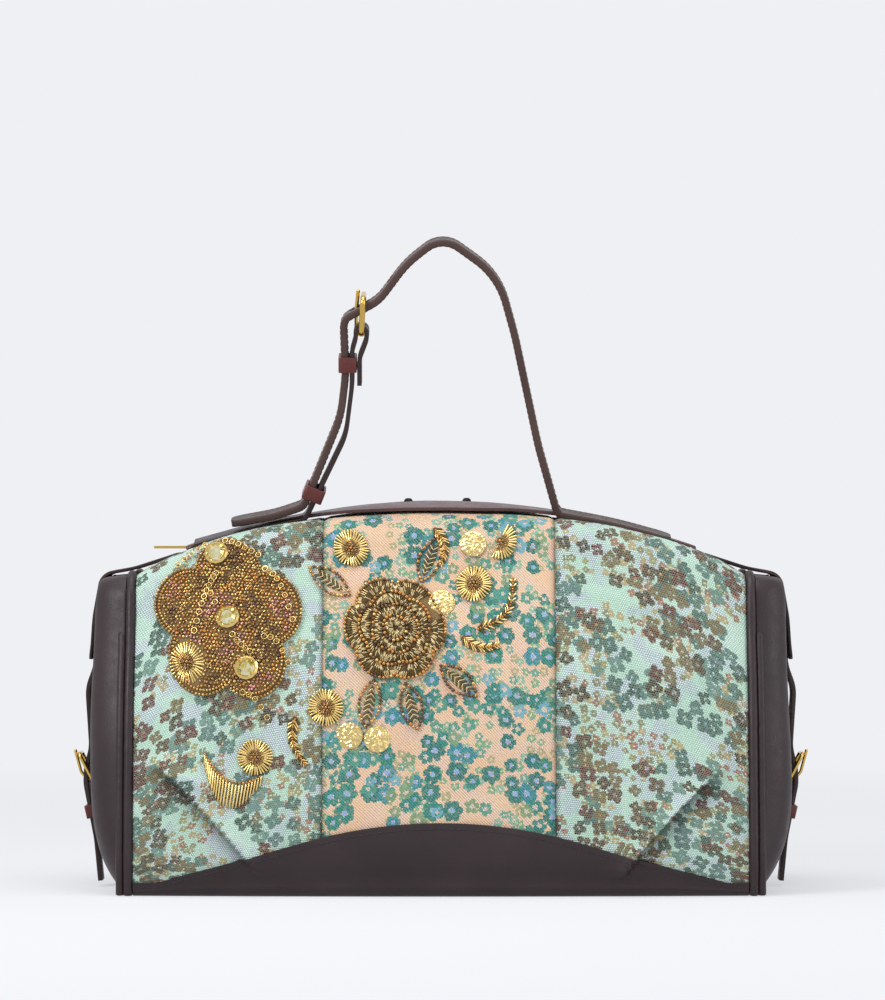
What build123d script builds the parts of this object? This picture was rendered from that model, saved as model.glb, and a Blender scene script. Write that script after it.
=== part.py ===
from build123d import *
import os
from math import asin, cos, degrees, hypot, pi, radians, sin, sqrt, tan

os.makedirs("parts", exist_ok=True)

# A soft bowling bag with an arched zip top, one buckled handle, a buckled belt
# at each end and beaded flowers on its front. Millimetres, +Z up, the front
# faces -Y, and the origin is on the floor under the middle of the bag.

# Driving dimensions of the body
seam_length = 348.0  # between the two piped end seams
ridge_height = 221.0  # floor to the roof line of the tapestry at mid-length
ridge_drop = 38.0  # how far that line falls from mid-length to the end seams
half_depth = 84.0  # middle plane to the tapestry at its widest
top_slope = 10.0  # degrees that the top falls from the zip to the shoulder
top_half_width = 32.0  # middle plane to where the shoulder starts
end_narrowing = 6.0  # how much nearer the middle plane the walls are at the ends
zip_gap = 8.0  # middle plane to the edge of the tapestry beside the zip
seam_left = -67.0  # seam between the left and centre tapestry panels
seam_right = 65.0  # seam between the centre and right tapestry panels
base_corner = 6.0  # radius of the fold along the bottom edges
piping_radius = 2.6
gusset_seam = 5.5  # from the end seam of the tapestry to the seam of the gusset
# Corner pleats, where the cloth towards the end seam lies lower than the pleat's edge
pleat_foot = 98.7  # mid-length to the pleat's edge at the floor
pleat_head = (156.0, 86.0)  # top of the pleat's edge
pleat_fade = 112.0  # floor to where the pleat has run out at the end seam
pleat_depth = 1.3  # at the foot
pleat_tail = 0.02  # depth that is left at the end seam

# Leather base with its arched flap
arch_height = 42.0  # floor to the crown of the flap
arch_corner = 7.0  # floor to the flap's edge near the end seams
arch_half_length = 163.0  # mid-length to where the flap's edge levels out
arch_tangent = 75.0  # mid-length to where the round crown runs into the straight flank
arch_shoulder = 31.5  # floor to the edge at that place
board_length = 318.0
board_width = 148.0

# Materials
tapestry = 2.0
base_leather = 2.0
gusset_leather = 2.0
band_leather = 1.8
lining_cloth = 0.8
tape_cloth = 0.8
seat = 0.15  # gap between faces that lie on each other
running_gap = 0.3  # gap round a piece that moves

# Zip
band_half_length = 147.0  # mid-length to the tips of the leather bands beside the zip
band_half_width = 31.0  # middle plane to the band's edge at mid-length
band_inner = 7.0  # middle plane to the band's edge beside the zip
tape_inner = 3.1
tape_outer = 16.0
teeth_reach = 150.0  # mid-length to the last tooth
tooth_pitch = 4.0  # along one tape
tooth_width = 3.0
tooth_height = 2.4
tooth_length = 1.6
slider_place = -144.0  # where the closed slider sits along the bag
slider_length = 12.0
slider_half_width = 5.7
slider_plate = 1.4
puller_length = 22.0
puller_width = 5.4
puller_thickness = 1.5

# Handle, drawn in a plane that leans forward with the top's slope
handle_distance = 21.0  # middle plane to the middle of the handle at its foot
strap_width = 17.5
strap_leather = 3.8
buckle_strap_leather = 2.6
handle_wire = 1.6  # radius of the buckle's bar and rails
handle_bar = (-45.5, 102.9)
handle_rail = (-44.3, 123.1)
keeper_leather = 1.4
handle_buckle_inner = 19.0  # between the buckle's two sides

# End belts, drawn in the middle plane of the right-hand end
tongue_width = 44.0
tongue_tip_width = 24.0
tongue_leather = 2.0
belt_width = 16.0
belt_leather = 2.6
chape_leather = 2.0
belt_wire = 1.1
belt_bar = (200.3, 59.6)
belt_rail = (209.3, 77.0)
belt_buckle_inner = 17.4

# Trimmings on the front
trim_gap = 0.15  # under the flat appliques
bead_gap = 0.6  # under the round trimmings, whose backs are flat on a curved wall
applique_thickness = 2.0
rosette_radius = 10.5
rosette_height = 3.0
disc_radius = 7.5
disc_height = 1.4
crystal_radius = 6.0
crystal_height = 4.0

half_seam = seam_length / 2
axis_depth = (half_seam**2 + ridge_drop**2) / (2 * ridge_drop) - ridge_height
arch_axis = Axis((0, 0, -axis_depth), (0, 1, 0))
slope = radians(top_slope)


def save(builder, name):
    """Label a finished sub-part and write it to its own file."""
    builder.part.label = name
    export_step(builder.part, f"parts/{name}.step")


def top_height(distance):
    """Height of the tapestry's flat top at mid-length, that far from the middle plane."""
    return ridge_height - distance * tan(slope)


# The wall's outline at mid-length below the flat top: distance from the middle
# plane and height
wall_outline = [
    (half_depth - 3, base_corner),
    (half_depth - 1, 20),
    (half_depth, 42),
    (half_depth - 4, 95),
    (half_depth - 14, 150),
    (half_depth - 31, 194),
    (top_half_width, top_height(top_half_width)),
]


def outline_normals():
    """Outward directions at the points of the wall's outline."""
    normals = [(1.0, 0.0)]
    for before, after in zip(wall_outline[:-2], wall_outline[2:]):
        run = hypot(after[0] - before[0], after[1] - before[1])
        normals.append(((after[1] - before[1]) / run, (before[0] - after[0]) / run))
    normals.append((sin(slope), cos(slope)))
    return normals


def at_station(x, y, z):
    """Where a point of the mid-length outline lies in the section at x."""
    radius = z + axis_depth
    fall = radius - sqrt(radius**2 - x**2)
    share = min(1.0, max(0.0, z) / (0.8 * ridge_height))
    outward = max(0.0, (y - top_half_width) / (half_depth - top_half_width))
    return y - end_narrowing * outward * (x / half_seam) ** 2, z - share * fall


def station_points(x, offset):
    """The wall's curved outline in the section at x, moved outwards by an offset."""
    moved = [
        (y + offset * ny, z + offset * nz)
        for (y, z), (ny, nz) in zip(wall_outline, outline_normals())
    ]
    return [at_station(x, y, z) for y, z in moved]


def top_point(x, distance, offset):
    """A point of the flat top in the section at x, that far from the middle plane."""
    return at_station(x, distance, top_height(distance) + offset / cos(slope))


def wall_curve(x, side, offset):
    """The wall's outline at x as one curve: side is -1 in front and 1 behind."""
    points = [(side * y, z) for y, z in station_points(x, offset)]
    edge_of_top = top_point(x, top_half_width - 1, offset)
    shoulder = station_points(x, offset)[-1]
    lean = (side * (edge_of_top[0] - shoulder[0]), edge_of_top[1] - shoulder[1])
    return Spline(*points, tangents=[(0, 1), lean], mode=Mode.PRIVATE)


def wall_section(x, side, inner, outer, edge_distance):
    """A thin closed section of the wall and top at x, between two offsets."""
    with BuildSketch(Plane.YZ.offset(x)) as section:
        with BuildLine():
            outer_wall = wall_curve(x, side, outer)
            inner_wall = wall_curve(x, side, inner)
            add([outer_wall, inner_wall])
            y, z = top_point(x, edge_distance, outer)
            outer_top = Line(outer_wall @ 1, (side * y, z))
            y, z = top_point(x, edge_distance, inner)
            inner_top = Line(inner_wall @ 1, (side * y, z))
            Line(outer_wall @ 0, inner_wall @ 0)
            Line(outer_top @ 1, inner_top @ 1)
        make_face()
    return section.sketch


def stations(start, end, count):
    """Evenly spaced places along the bag's length."""
    return [start + (end - start) * i / (count - 1) for i in range(count)]


def wall_distance(x, z, offset):
    """How far the wall at x stands from the middle plane at a height."""
    shoulder = station_points(x, offset)[-1]
    edge = top_point(x, zip_gap, offset)
    if z >= shoulder[1]:
        share = (z - shoulder[1]) / (edge[1] - shoulder[1])
        return shoulder[0] + share * (edge[0] - shoulder[0])
    curve = wall_curve(x, 1, offset)
    low, high = 0.0, 1.0
    for _ in range(24):
        middle = (low + high) / 2
        if (curve @ middle).Y < z:
            low = middle
        else:
            high = middle
    return (curve @ low).X


def front_place(x, z, lift):
    """A plane on the front of the tapestry, facing outwards, lifted off it a little."""
    step = 2.0
    y = -wall_distance(x, z, 0)
    lean_x = (wall_distance(x - step, z, 0) - wall_distance(x + step, z, 0)) / (2 * step)
    lean_z = (wall_distance(x, z - step, 0) - wall_distance(x, z + step, 0)) / (2 * step)
    outward = Vector(lean_x, -1, lean_z).normalized()
    return Plane(origin=Vector(x, y, z) + outward * lift, x_dir=(1, 0, 0), z_dir=outward)


def strap_face(plane, points, radii, thickness):
    """The edge-on outline of a strap along a path of straight runs and arcs."""
    with BuildSketch(plane) as outline:
        with BuildLine():
            FilletPolyline(*points, radius=radii)
        trace(line_width=thickness)
    return outline.sketch


def arc_plane(x, radius):
    """The upright plane across the zip's arch where it passes x at that radius."""
    angle = asin(x / radius)
    outward = (cos(angle), 0, -sin(angle))
    return Plane(origin=(0, 0, -axis_depth), x_dir=(0, 1, 0), z_dir=outward)


def arch_sweep(outline, reach):
    """A closed outline of distances and radii, turned along the arch to x = reach."""
    longest = max(radius for _, radius in outline)
    with BuildPart() as swept:
        with BuildSketch(arc_plane(-reach, longest)):
            with BuildLine():
                Polyline(*outline, close=True)
            make_face()
        revolve(axis=arch_axis, revolution_arc=2 * degrees(asin(reach / longest)))
    return swept.part


def arch_layer(side, inner, outer, bottom, top):
    """The outline of a layer on the flat top, between two distances and two offsets."""
    return [
        (side * y, axis_depth + top_height(y) + lift / cos(slope))
        for y, lift in ((inner, bottom), (outer, bottom), (outer, top), (inner, top))
    ]


# Tapestry panels: three across the front and three across the back
panel_spans = {
    "left": (-half_seam, seam_left),
    "centre": (seam_left, seam_right),
    "right": (seam_right, half_seam),
}
pleat_places = stations(pleat_foot, half_seam, 4)
with BuildPart() as pleat_recess:
    sections = []
    for x in pleat_places:
        depth = pleat_depth * (half_seam - x) / (half_seam - pleat_foot) + pleat_tail
        sections.append(wall_section(x, -1, -depth, seat, top_half_width - 2))
    loft(sections=sections)
    with BuildSketch(Plane.XZ):
        with BuildLine():
            Polyline((pleat_foot, 0), (half_seam, 0), (half_seam, pleat_fade), pleat_head, close=True)
        make_face()
    extrude(amount=2 * half_depth, mode=Mode.INTERSECT)
for place, (start, end) in panel_spans.items():
    places = stations(start, end, 4)
    with BuildPart() as front_panel:
        loft(sections=[wall_section(x, -1, -tapestry, 0, zip_gap) for x in places])
        if place == "right":
            add(pleat_recess.part, mode=Mode.SUBTRACT)
        if place == "left":
            mirror(pleat_recess.part, about=Plane.YZ, mode=Mode.SUBTRACT)
    save(front_panel, f"front_{place}_panel")
    with BuildPart() as back_panel:
        mirror(front_panel.part, about=Plane.XZ)
    save(back_panel, f"back_{place}_panel")

# Leather base: one piece that folds up into an arched flap on the front and back
flap_share = 0.24  # how much of the wall's outline the flap covers before it is cut
flap_layers = ((seat + base_leather, 0.0), (seat, base_leather))
under_end = 7.0  # how far the base leather runs on under each end gusset


def base_section(x):
    """The closed section of the base leather at x, before its flaps are cut."""
    with BuildSketch(Plane.YZ.offset(x)) as section:
        with BuildLine():
            tips = {}
            for layer, (lift, floor) in enumerate(flap_layers):
                heels = []
                for side in (-1, 1):
                    flap = wall_curve(x, side, lift).trim(0.0, flap_share)
                    add(flap)
                    foot = flap @ 0
                    bend = foot.Y - floor
                    middle = (foot.X - side * bend * (1 - cos(pi / 4)), foot.Y - bend * sin(pi / 4))
                    heel = (foot.X - side * bend, floor)
                    ThreePointArc(foot, middle, heel)
                    heels.append(heel)
                    tips[layer, side] = flap @ 1
                Line(*heels)
            Line(tips[0, -1], tips[1, -1])
            Line(tips[0, 1], tips[1, 1])
        make_face()
    return section.sketch


with BuildPart() as base_panel:
    loft(sections=[base_section(x) for x in stations(-half_seam, half_seam, 7)])
    with BuildSketch(Plane.XZ) as arch:
        with BuildLine():
            ThreePointArc((-arch_tangent, arch_shoulder), (0, arch_height), (arch_tangent, arch_shoulder))
            Polyline(
                (arch_tangent, arch_shoulder),
                (arch_half_length, arch_corner),
                (half_seam, arch_corner),
                (half_seam, -1),
                (-half_seam, -1),
                (-half_seam, arch_corner),
                (-arch_half_length, arch_corner),
                (-arch_tangent, arch_shoulder),
            )
        make_face()
    extrude(amount=2 * half_depth, both=True, mode=Mode.INTERSECT)
    with BuildSketch(Plane.XY):
        RectangleRounded(2 * (half_seam + under_end), 2 * (half_depth - 16), 5)
    extrude(amount=base_leather)
save(base_panel, "base_panel")

# Stiff board that the lining lies on
board_floor = base_leather + seat
lining_floor = board_floor + 3.6
with BuildPart() as base_board:
    with BuildSketch(Plane.XY.offset(board_floor)):
        RectangleRounded(board_length, board_width, 8)
    extrude(amount=lining_floor - board_floor - seat)
save(base_board, "base_board")

# Lining: a thin bag with its mouth along the zip
lining_reach = half_seam - 10
mouth_half_width = tape_outer + 1.5
lining_lift = -(tapestry + running_gap)


def lining_section(x, lift, floor):
    """The closed outline of the lining at x, solid from wall to wall."""
    with BuildSketch(Plane.YZ.offset(x)) as section:
        with BuildLine():
            y, z = top_point(x, mouth_half_width, lift)
            front = wall_curve(x, -1, lift).trim(0.05, 1.0)
            back = wall_curve(x, 1, lift).trim(0.05, 1.0)
            add([front, back])
            Polyline(front @ 1, (-y, z), (y, z), back @ 1)
            heel = (back @ 0).X - base_corner
            Polyline(front @ 0, (-heel, floor), (heel, floor), back @ 0)
        make_face()
    return section.sketch


mouth_reach = teeth_reach + 10.0
with BuildPart() as lining:
    places = stations(-lining_reach, lining_reach, 7)
    loft(sections=[lining_section(x, lining_lift, lining_floor) for x in places])
    places = stations(lining_cloth - lining_reach, lining_reach - lining_cloth, 7)
    inner_lift = lining_lift - lining_cloth
    inner_floor = lining_floor + lining_cloth
    loft(sections=[lining_section(x, inner_lift, inner_floor) for x in places], mode=Mode.SUBTRACT)
    with BuildSketch(Plane.XY.offset(ridge_height / 2)):
        Rectangle(2 * mouth_reach, 2 * mouth_half_width)
    extrude(amount=ridge_height, mode=Mode.SUBTRACT)
save(lining, "lining")

# End gussets: a soft leather end that folds in along its middle. Each level has
# a height, the reach of its two rounded edges and the reach of the fold between
gusset_levels = [
    (base_leather + seat, 180.8, 180.3),
    (12, 188, 187),
    (35, 196, 192),
    (64, 198, 189),
    (100, 195, 182),
    (140, 190, 175),
    (165, 188, 171),
    (173, 186, 173),
    (178, 184.5, 177),
]
gusset_edge = half_seam + gusset_seam


def gusset_section(z, crest, fold):
    """The section of the right-hand gusset at a height, one even thickness."""
    width = wall_distance(half_seam, max(z, base_corner), -tapestry / 2)
    rise = crest - gusset_edge
    near = [
        (gusset_edge, -width),
        (gusset_edge + 0.7 * rise, -(width - 0.11 * width)),
        (crest, -0.76 * width),
        (fold + 0.3 * (crest - fold), -0.36 * width),
    ]
    outer = near + [(fold, 0)] + [(x, -y) for x, y in reversed(near)]
    inner = [(gusset_edge, -width + gusset_leather)]
    for before, here, after in zip(outer[:-2], outer[1:-1], outer[2:]):
        run = hypot(after[0] - before[0], after[1] - before[1])
        step_x = gusset_leather * (after[1] - before[1]) / run
        step_y = gusset_leather * (before[0] - after[0]) / run
        inner.append((here[0] - step_x, here[1] - step_y))
    inner.append((gusset_edge, width - gusset_leather))
    with BuildSketch(Plane.XY.offset(z)) as section:
        with BuildLine():
            Spline(*outer)
            Spline(*inner)
            Line(outer[0], inner[0])
            Line(outer[-1], inner[-1])
        make_face()
    return section.sketch


with BuildPart() as right_gusset:
    loft(sections=[gusset_section(*level) for level in gusset_levels])
save(right_gusset, "right_gusset")
with BuildPart() as left_gusset:
    mirror(right_gusset.part, about=Plane.YZ)
save(left_gusset, "left_gusset")

# Piping in the four end seams, from the floor up over the shoulder to the zip
piping_place = half_seam + 0.2 + piping_radius
piping_foot = 1.0
piping_end = 12.0


def easy_bends(points):
    """The largest radii that the corners of a path allow."""
    radii = []
    for before, here, after in zip(points[:-2], points[1:-1], points[2:]):
        run_in = Vector(*here) - Vector(*before)
        run_out = Vector(*after) - Vector(*here)
        half_turn = radians(run_in.get_angle(run_out)) / 2
        radii.append(0.45 * min(run_in.length, run_out.length) / tan(half_turn))
    return radii


for end, way in (("left", -1), ("right", 1)):
    for face, side in (("front", -1), ("back", 1)):
        seam_points = station_points(half_seam, -tapestry / 2)
        seam_points[0] = (seam_points[0][0], piping_foot)
        seam_points.append(top_point(half_seam, piping_end, -tapestry / 2))
        route = [(side * y, z) for y, z in seam_points]
        with BuildPart() as piping:
            with BuildLine(Plane.YZ.offset(way * piping_place)) as seam:
                FilletPolyline(*route, radius=easy_bends(route))
            with BuildSketch(Plane(origin=seam.line @ 0, z_dir=seam.line % 0)):
                Circle(piping_radius)
            sweep(path=seam.line)
        save(piping, f"{end}_{face}_piping")

# Leather bands beside the zip: lens shaped from above, bent over the arch
for face, side in (("front", -1), ("back", 1)):
    band = arch_layer(side, band_inner, band_half_width + 1, seat, seat + band_leather)
    with BuildPart() as zip_band:
        add(arch_sweep(band, band_half_length + 8))
        with BuildSketch(Plane.XY.offset(ridge_height / 2)):
            with BuildLine():
                tips = ((-band_half_length, side * band_inner), (band_half_length, side * band_inner))
                ThreePointArc(tips[0], (0, side * band_half_width), tips[1])
                Line(*tips)
            make_face()
        extrude(amount=ridge_height, mode=Mode.INTERSECT)
    save(zip_band, f"{face}_zip_band")

# Zip tapes, sewn under the edges of the tapestry
tape_top = -(tapestry + seat)
for face, side in (("front", -1), ("back", 1)):
    layer = arch_layer(side, tape_inner, tape_outer, tape_top - tape_cloth, tape_top)
    with BuildPart() as zip_tape:
        add(arch_sweep(layer, mouth_reach - 1))
    save(zip_tape, f"{face}_zip_tape")

# Zip teeth: two rows that mesh along the middle
teeth_radius = axis_depth + top_height(tape_inner) + (tape_top - tape_cloth / 2) / cos(slope)
teeth_swing = degrees(asin(teeth_reach / teeth_radius))
tooth_swing = degrees(tooth_pitch / teeth_radius)
tooth_count = int(2 * teeth_swing / tooth_swing)
tooth_overlap = 0.8
for row, (face, side) in enumerate((("front", -1), ("back", 1))):
    start_angle = 90 - teeth_swing + row * tooth_swing / 2
    across = tooth_width + tooth_overlap
    middle = side * (tooth_width - tooth_overlap) / 2
    with BuildPart() as zip_teeth:
        with BuildSketch(Plane(origin=(0, middle, -axis_depth), x_dir=(1, 0, 0), z_dir=(0, -1, 0))):
            with PolarLocations(teeth_radius, tooth_count, start_angle, tooth_count * tooth_swing):
                Rectangle(tooth_height, tooth_length)
        extrude(amount=across / 2, both=True)
    save(zip_teeth, f"{face}_zip_teeth")

# Metal stops past the last teeth
stop_reach = teeth_reach + 3.0
stop_swing = degrees(asin(stop_reach / teeth_radius))
with BuildPart() as zip_stops:
    with BuildSketch(Plane(origin=(0, 0, -axis_depth), x_dir=(1, 0, 0), z_dir=(0, -1, 0))):
        with PolarLocations(teeth_radius, 2, 90 - stop_swing, 2 * stop_swing, endpoint=True):
            Rectangle(tooth_height, tooth_length)
    extrude(amount=tape_inner - running_gap / 2, both=True)
save(zip_stops, "zip_stops")

# Zip slider: a channel over the teeth with a staple for the puller
plate_radius = teeth_radius + tooth_height / 2 + running_gap
slider_radius = plate_radius + slider_plate
slider_cheek = slider_half_width - 1.6
cheek_foot = axis_depth + top_height(slider_cheek) + tape_top / cos(slope) + running_gap
staple_half_length = 3.2
staple_half_width = 0.9
staple_height = 3.4
staple_wall = 0.9
staple_floor = 0.5
pin_radius = 0.7
pin_height = 1.5
slider_turn = degrees(slider_length / slider_radius)
slider_start = slider_place - slider_length / 2
slider_angle = asin(slider_place / slider_radius)
channel = [
    (-slider_half_width, cheek_foot),
    (-slider_cheek, cheek_foot),
    (-slider_cheek, plate_radius),
    (slider_cheek, plate_radius),
    (slider_cheek, cheek_foot),
    (slider_half_width, cheek_foot),
    (slider_half_width, slider_radius),
    (-slider_half_width, slider_radius),
]
slider_plane = Plane(
    origin=(slider_radius * sin(slider_angle), 0, slider_radius * cos(slider_angle) - axis_depth),
    x_dir=(cos(slider_angle), 0, -sin(slider_angle)),
    z_dir=(0, -1, 0),
)
with BuildPart() as zip_slider:
    with BuildSketch(arc_plane(slider_start, slider_radius)):
        with BuildLine():
            Polyline(*channel, close=True)
        make_face()
    revolve(axis=arch_axis, revolution_arc=slider_turn)
    with BuildSketch(slider_plane):
        with Locations((0, staple_height / 2 - slider_plate / 2)):
            Rectangle(2 * staple_half_length, staple_height + slider_plate)
        with Locations((0, (staple_floor + staple_height - staple_wall) / 2)):
            opening = staple_height - staple_wall - staple_floor
            Rectangle(2 * (staple_half_length - 1.6), opening, mode=Mode.SUBTRACT)
    extrude(amount=staple_half_width, both=True)
save(zip_slider, "zip_slider")

# Zip puller: a flat bar that turns on a pin through the staple
pin_place = slider_plane.from_local_coords((0, pin_height, 0))
window_end = 4.6
puller_plane = Plane(origin=pin_place, x_dir=(1, 0, 0), z_dir=(0, 0, 1))
with BuildPart() as zip_puller:
    with BuildSketch(puller_plane):
        with BuildLine():
            Polyline(
                (0, -puller_width / 2),
                (0, puller_width / 2),
                (-puller_length + 2, puller_width / 2),
                (-puller_length, puller_width / 4),
                (-puller_length, -puller_width / 4),
                (-puller_length + 2, -puller_width / 2),
                close=True,
            )
        make_face()
        with Locations((-window_end / 2, 0)):
            Rectangle(window_end, 2 * (staple_half_width + 0.5), mode=Mode.SUBTRACT)
    extrude(amount=puller_thickness / 2, both=True)
    with BuildSketch(Plane(origin=pin_place, x_dir=(1, 0, 0), z_dir=(0, -1, 0))):
        Circle(pin_radius)
    extrude(amount=puller_width / 2, both=True)
save(zip_puller, "zip_puller")

# Two small studs that fasten the back band
stud_places = (-19.0, 15.0)
stud_distance = 13.0
stud_radius = 2.6
stud_height = 4.2
with BuildPart() as band_studs:
    for x in stud_places:
        uphill = stud_distance - stud_radius
        radius = axis_depth + top_height(uphill) + (2 * seat + band_leather) / cos(slope)
        foot = sqrt(radius**2 - x**2) - axis_depth
        with BuildSketch(Plane.XY.offset(foot)):
            with Locations((x, stud_distance)):
                Circle(stud_radius)
        extrude(amount=stud_height)
        crowns = band_studs.faces().filter_by(Axis.Z).group_by(Axis.X)[-1].sort_by(Axis.Z)
        fillet(crowns[-1].edges(), 0.8 * stud_radius)
save(band_studs, "band_studs")

# Handle: two straps on the front slope of the top, joined by a buckle
handle_foot = top_height(handle_distance) + (seat + band_leather) / cos(slope)
handle_plane = Plane(
    origin=(0, -handle_distance, handle_foot),
    x_dir=(1, 0, 0),
    z_dir=(0, -cos(slope), -sin(slope)),
)
handle_path = [
    (132, -18.05),
    (100, -9.05),
    (67, -2.85),
    (55.8, 37),
    (42.2, 101),
    (32.7, 135.3),
    (0.8, 158.3),
    (-19.5, 142.5),
    (-35.5, 121),
    (-55.8, 110.3),
    (-54.6, 78),
    (-57.5, 54),
    (-78.7, 2.0),
    (-95.3, -3.6),
    (-120.5, -8.3),
]
handle_bends = [300, 5, 200, 200, 45, 15, 60, 25, 7, 80, 60, 7, 80]
# Prong hole first, then the spare holes: place along and across the handle and
# the strap's direction there in degrees
prong_hole = (-47.4, 114.7, 27.8)
spare_holes = [(-27.3, 132.0, 53.3), (-55.1, 94.0, 92.1), (-55.2, 70.0, 83.1)]
with BuildPart() as handle_strap:
    extrude(strap_face(handle_plane, handle_path, handle_bends, strap_leather), strap_width / 2, both=True)
    for x, rise, turn in [prong_hole] + spare_holes:
        length = 8.2 if (x, rise, turn) == prong_hole else 5.0
        hole_plane = Plane(
            origin=handle_plane.from_local_coords((x, rise, 0)),
            x_dir=handle_plane.x_dir * cos(radians(turn)) + handle_plane.y_dir * sin(radians(turn)),
            z_dir=handle_plane.y_dir * cos(radians(turn)) - handle_plane.x_dir * sin(radians(turn)),
        )
        with BuildSketch(hole_plane):
            SlotOverall(length, 3.0)
        extrude(amount=strap_leather, both=True, mode=Mode.SUBTRACT)
save(handle_strap, "handle_strap")

buckle_strap_path = [
    (-142, -21.0),
    (-110, -12.0),
    (-77.9, -5.4),
    (-54.6, 43.3),
    (-50.9, 72),
    (-50.9, 92),
    (-48.6, 100),
    (-48.6, 106),
    (-42.4, 106),
    (-42.4, 99),
    (-46.6, 88),
    (-46.6, 72.5),
]
buckle_strap_bends = [300, 6, 40, 60, 15, 12, 3.0, 3.0, 12, 15]
prong_slot = 3.6  # width of the gap in the strap's loop round the bar
with BuildPart() as handle_buckle_strap:
    outline = strap_face(handle_plane, buckle_strap_path, buckle_strap_bends, buckle_strap_leather)
    extrude(outline, strap_width / 2, both=True)
    with BuildSketch(handle_plane):
        with Locations((handle_bar[0], handle_bar[1] + 1)):
            Rectangle(12, 9)
    extrude(amount=prong_slot / 2, both=True, mode=Mode.SUBTRACT)
save(handle_buckle_strap, "handle_buckle_strap")


def buckle_ring(plane, bar, rail, inner_width, wire, bend):
    """The frame of a buckle: round wire bent into a closed loop, from bar to rail."""
    along = (plane.x_dir * (rail[0] - bar[0]) + plane.y_dir * (rail[1] - bar[1])).normalized()
    length = hypot(rail[0] - bar[0], rail[1] - bar[1])
    half = inner_width / 2 + wire
    ring_plane = Plane(
        origin=plane.from_local_coords((*bar, 0)), x_dir=plane.z_dir, z_dir=plane.z_dir.cross(along)
    )
    with BuildPart() as ring:
        with BuildLine(ring_plane) as loop:
            FilletPolyline((-half, 0), (-half, length), (half, length), (half, 0), radius=bend, close=True)
        with BuildSketch(Plane(origin=loop.line @ 0, z_dir=loop.line % 0)):
            Circle(wire)
        sweep(path=loop.line)
    return ring.part


def buckle_prong(plane, bar, route, bend, bar_wire, wire, width):
    """A prong: an eye round the bar and a wire that runs through the strap to the rail."""
    with BuildPart() as prong:
        with BuildSketch(plane):
            with Locations(bar):
                Circle(bar_wire + seat + 1.3)
        extrude(amount=width / 2, both=True)
        with BuildLine(plane) as shank:
            FilletPolyline(*route, radius=bend)
        with BuildSketch(Plane(origin=shank.line @ 0, z_dir=shank.line % 0)):
            Circle(wire)
        sweep(path=shank.line)
        with Locations(shank.line @ 1):
            Sphere(wire)
        with BuildSketch(plane):
            with Locations(bar):
                Circle(bar_wire + seat)
        extrude(amount=width, both=True, mode=Mode.SUBTRACT)
    return prong.part


def keeper_loop(plane, centre, turn, inner, outer, height, belt):
    """A leather loop round a belt, seen edge-on: inner and outer are offsets to its faces."""
    lean = radians(turn)
    across = plane.x_dir * sin(lean) - plane.y_dir * cos(lean)
    along = plane.x_dir * cos(lean) + plane.y_dir * sin(lean)
    origin = plane.from_local_coords((*centre, 0))
    loop_plane = Plane(origin=origin, x_dir=across, z_dir=along)
    middle = (inner + outer) / 2
    hole_depth = belt + 2 * running_gap
    with BuildPart() as loop:
        with BuildSketch(loop_plane):
            with Locations((middle, 0)):
                RectangleRounded(outer - inner + 2 * keeper_leather, hole_depth + 2 * keeper_leather, 1.6)
                Rectangle(outer - inner, hole_depth, mode=Mode.SUBTRACT)
        extrude(amount=height / 2, both=True)
    return loop.part


with BuildPart() as handle_buckle:
    add(buckle_ring(handle_plane, handle_bar, handle_rail, handle_buckle_inner, handle_wire, 3.0))
save(handle_buckle, "handle_buckle")

prong_wire = 1.1
prong_side = handle_bar[0] - handle_wire - prong_wire - 0.2
prong_route = [(prong_side, handle_bar[1]), (prong_side, 115), (-47.3, 126)]
with BuildPart() as handle_prong:
    add(buckle_prong(handle_plane, handle_bar, prong_route, 60, handle_wire, prong_wire, prong_slot - 1))
save(handle_prong, "handle_prong")

with BuildPart() as handle_fixed_keeper:
    add(keeper_loop(handle_plane, (-53.0, 84.5), 90, -4.2, 3.4, 8.7, strap_width))
save(handle_fixed_keeper, "handle_fixed_keeper")

with BuildPart() as handle_sliding_keeper:
    add(keeper_loop(handle_plane, (-75.4, 10.2), 67.8, -2.2, 7.1, 8.0, strap_width))
save(handle_sliding_keeper, "handle_sliding_keeper")

# End belts: a tongue over the end of the zip, a belt down the end, a buckle on
# a short strap sewn to the gusset, and a keeper. The left end mirrors the right
belt_plane = Plane.XZ
tongue_path = [(151.8, 192.6), (177, 184.4), (195.3, 181.2), (200.2, 156), (201.4, 141), (202.6, 131.8)]
tongue_bends = [80, 9, 80, 80]
belt_path = [
    (198.2, 148),
    (199.9, 128),
    (204.6, 115),
    (202.4, 81),
    (205.4, 69),
    (205.8, 60),
    (199.6, 28),
    (197.2, 3.5),
]
belt_bends = [30, 25, 25, 25, 25, 60]
chape_path = [
    (190.9, 17),
    (197.95, 54),
    (197.95, 61.95),
    (202.65, 61.95),
    (202.65, 57),
    (198.4, 38),
    (193.75, 20),
]
chape_bends = [20, 2.3, 2.3, 15, 60]
belt_prong_route = [(202.8, 60.4), (208.8, 65.7), (212.2, 78.5)]
belt_hole = (205.7, 63.0, 90)
belt_spare_holes = [(203.3, 96, 86.3), (204.3, 108, 86.3), (201.5, 38, 79.5)]


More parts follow.
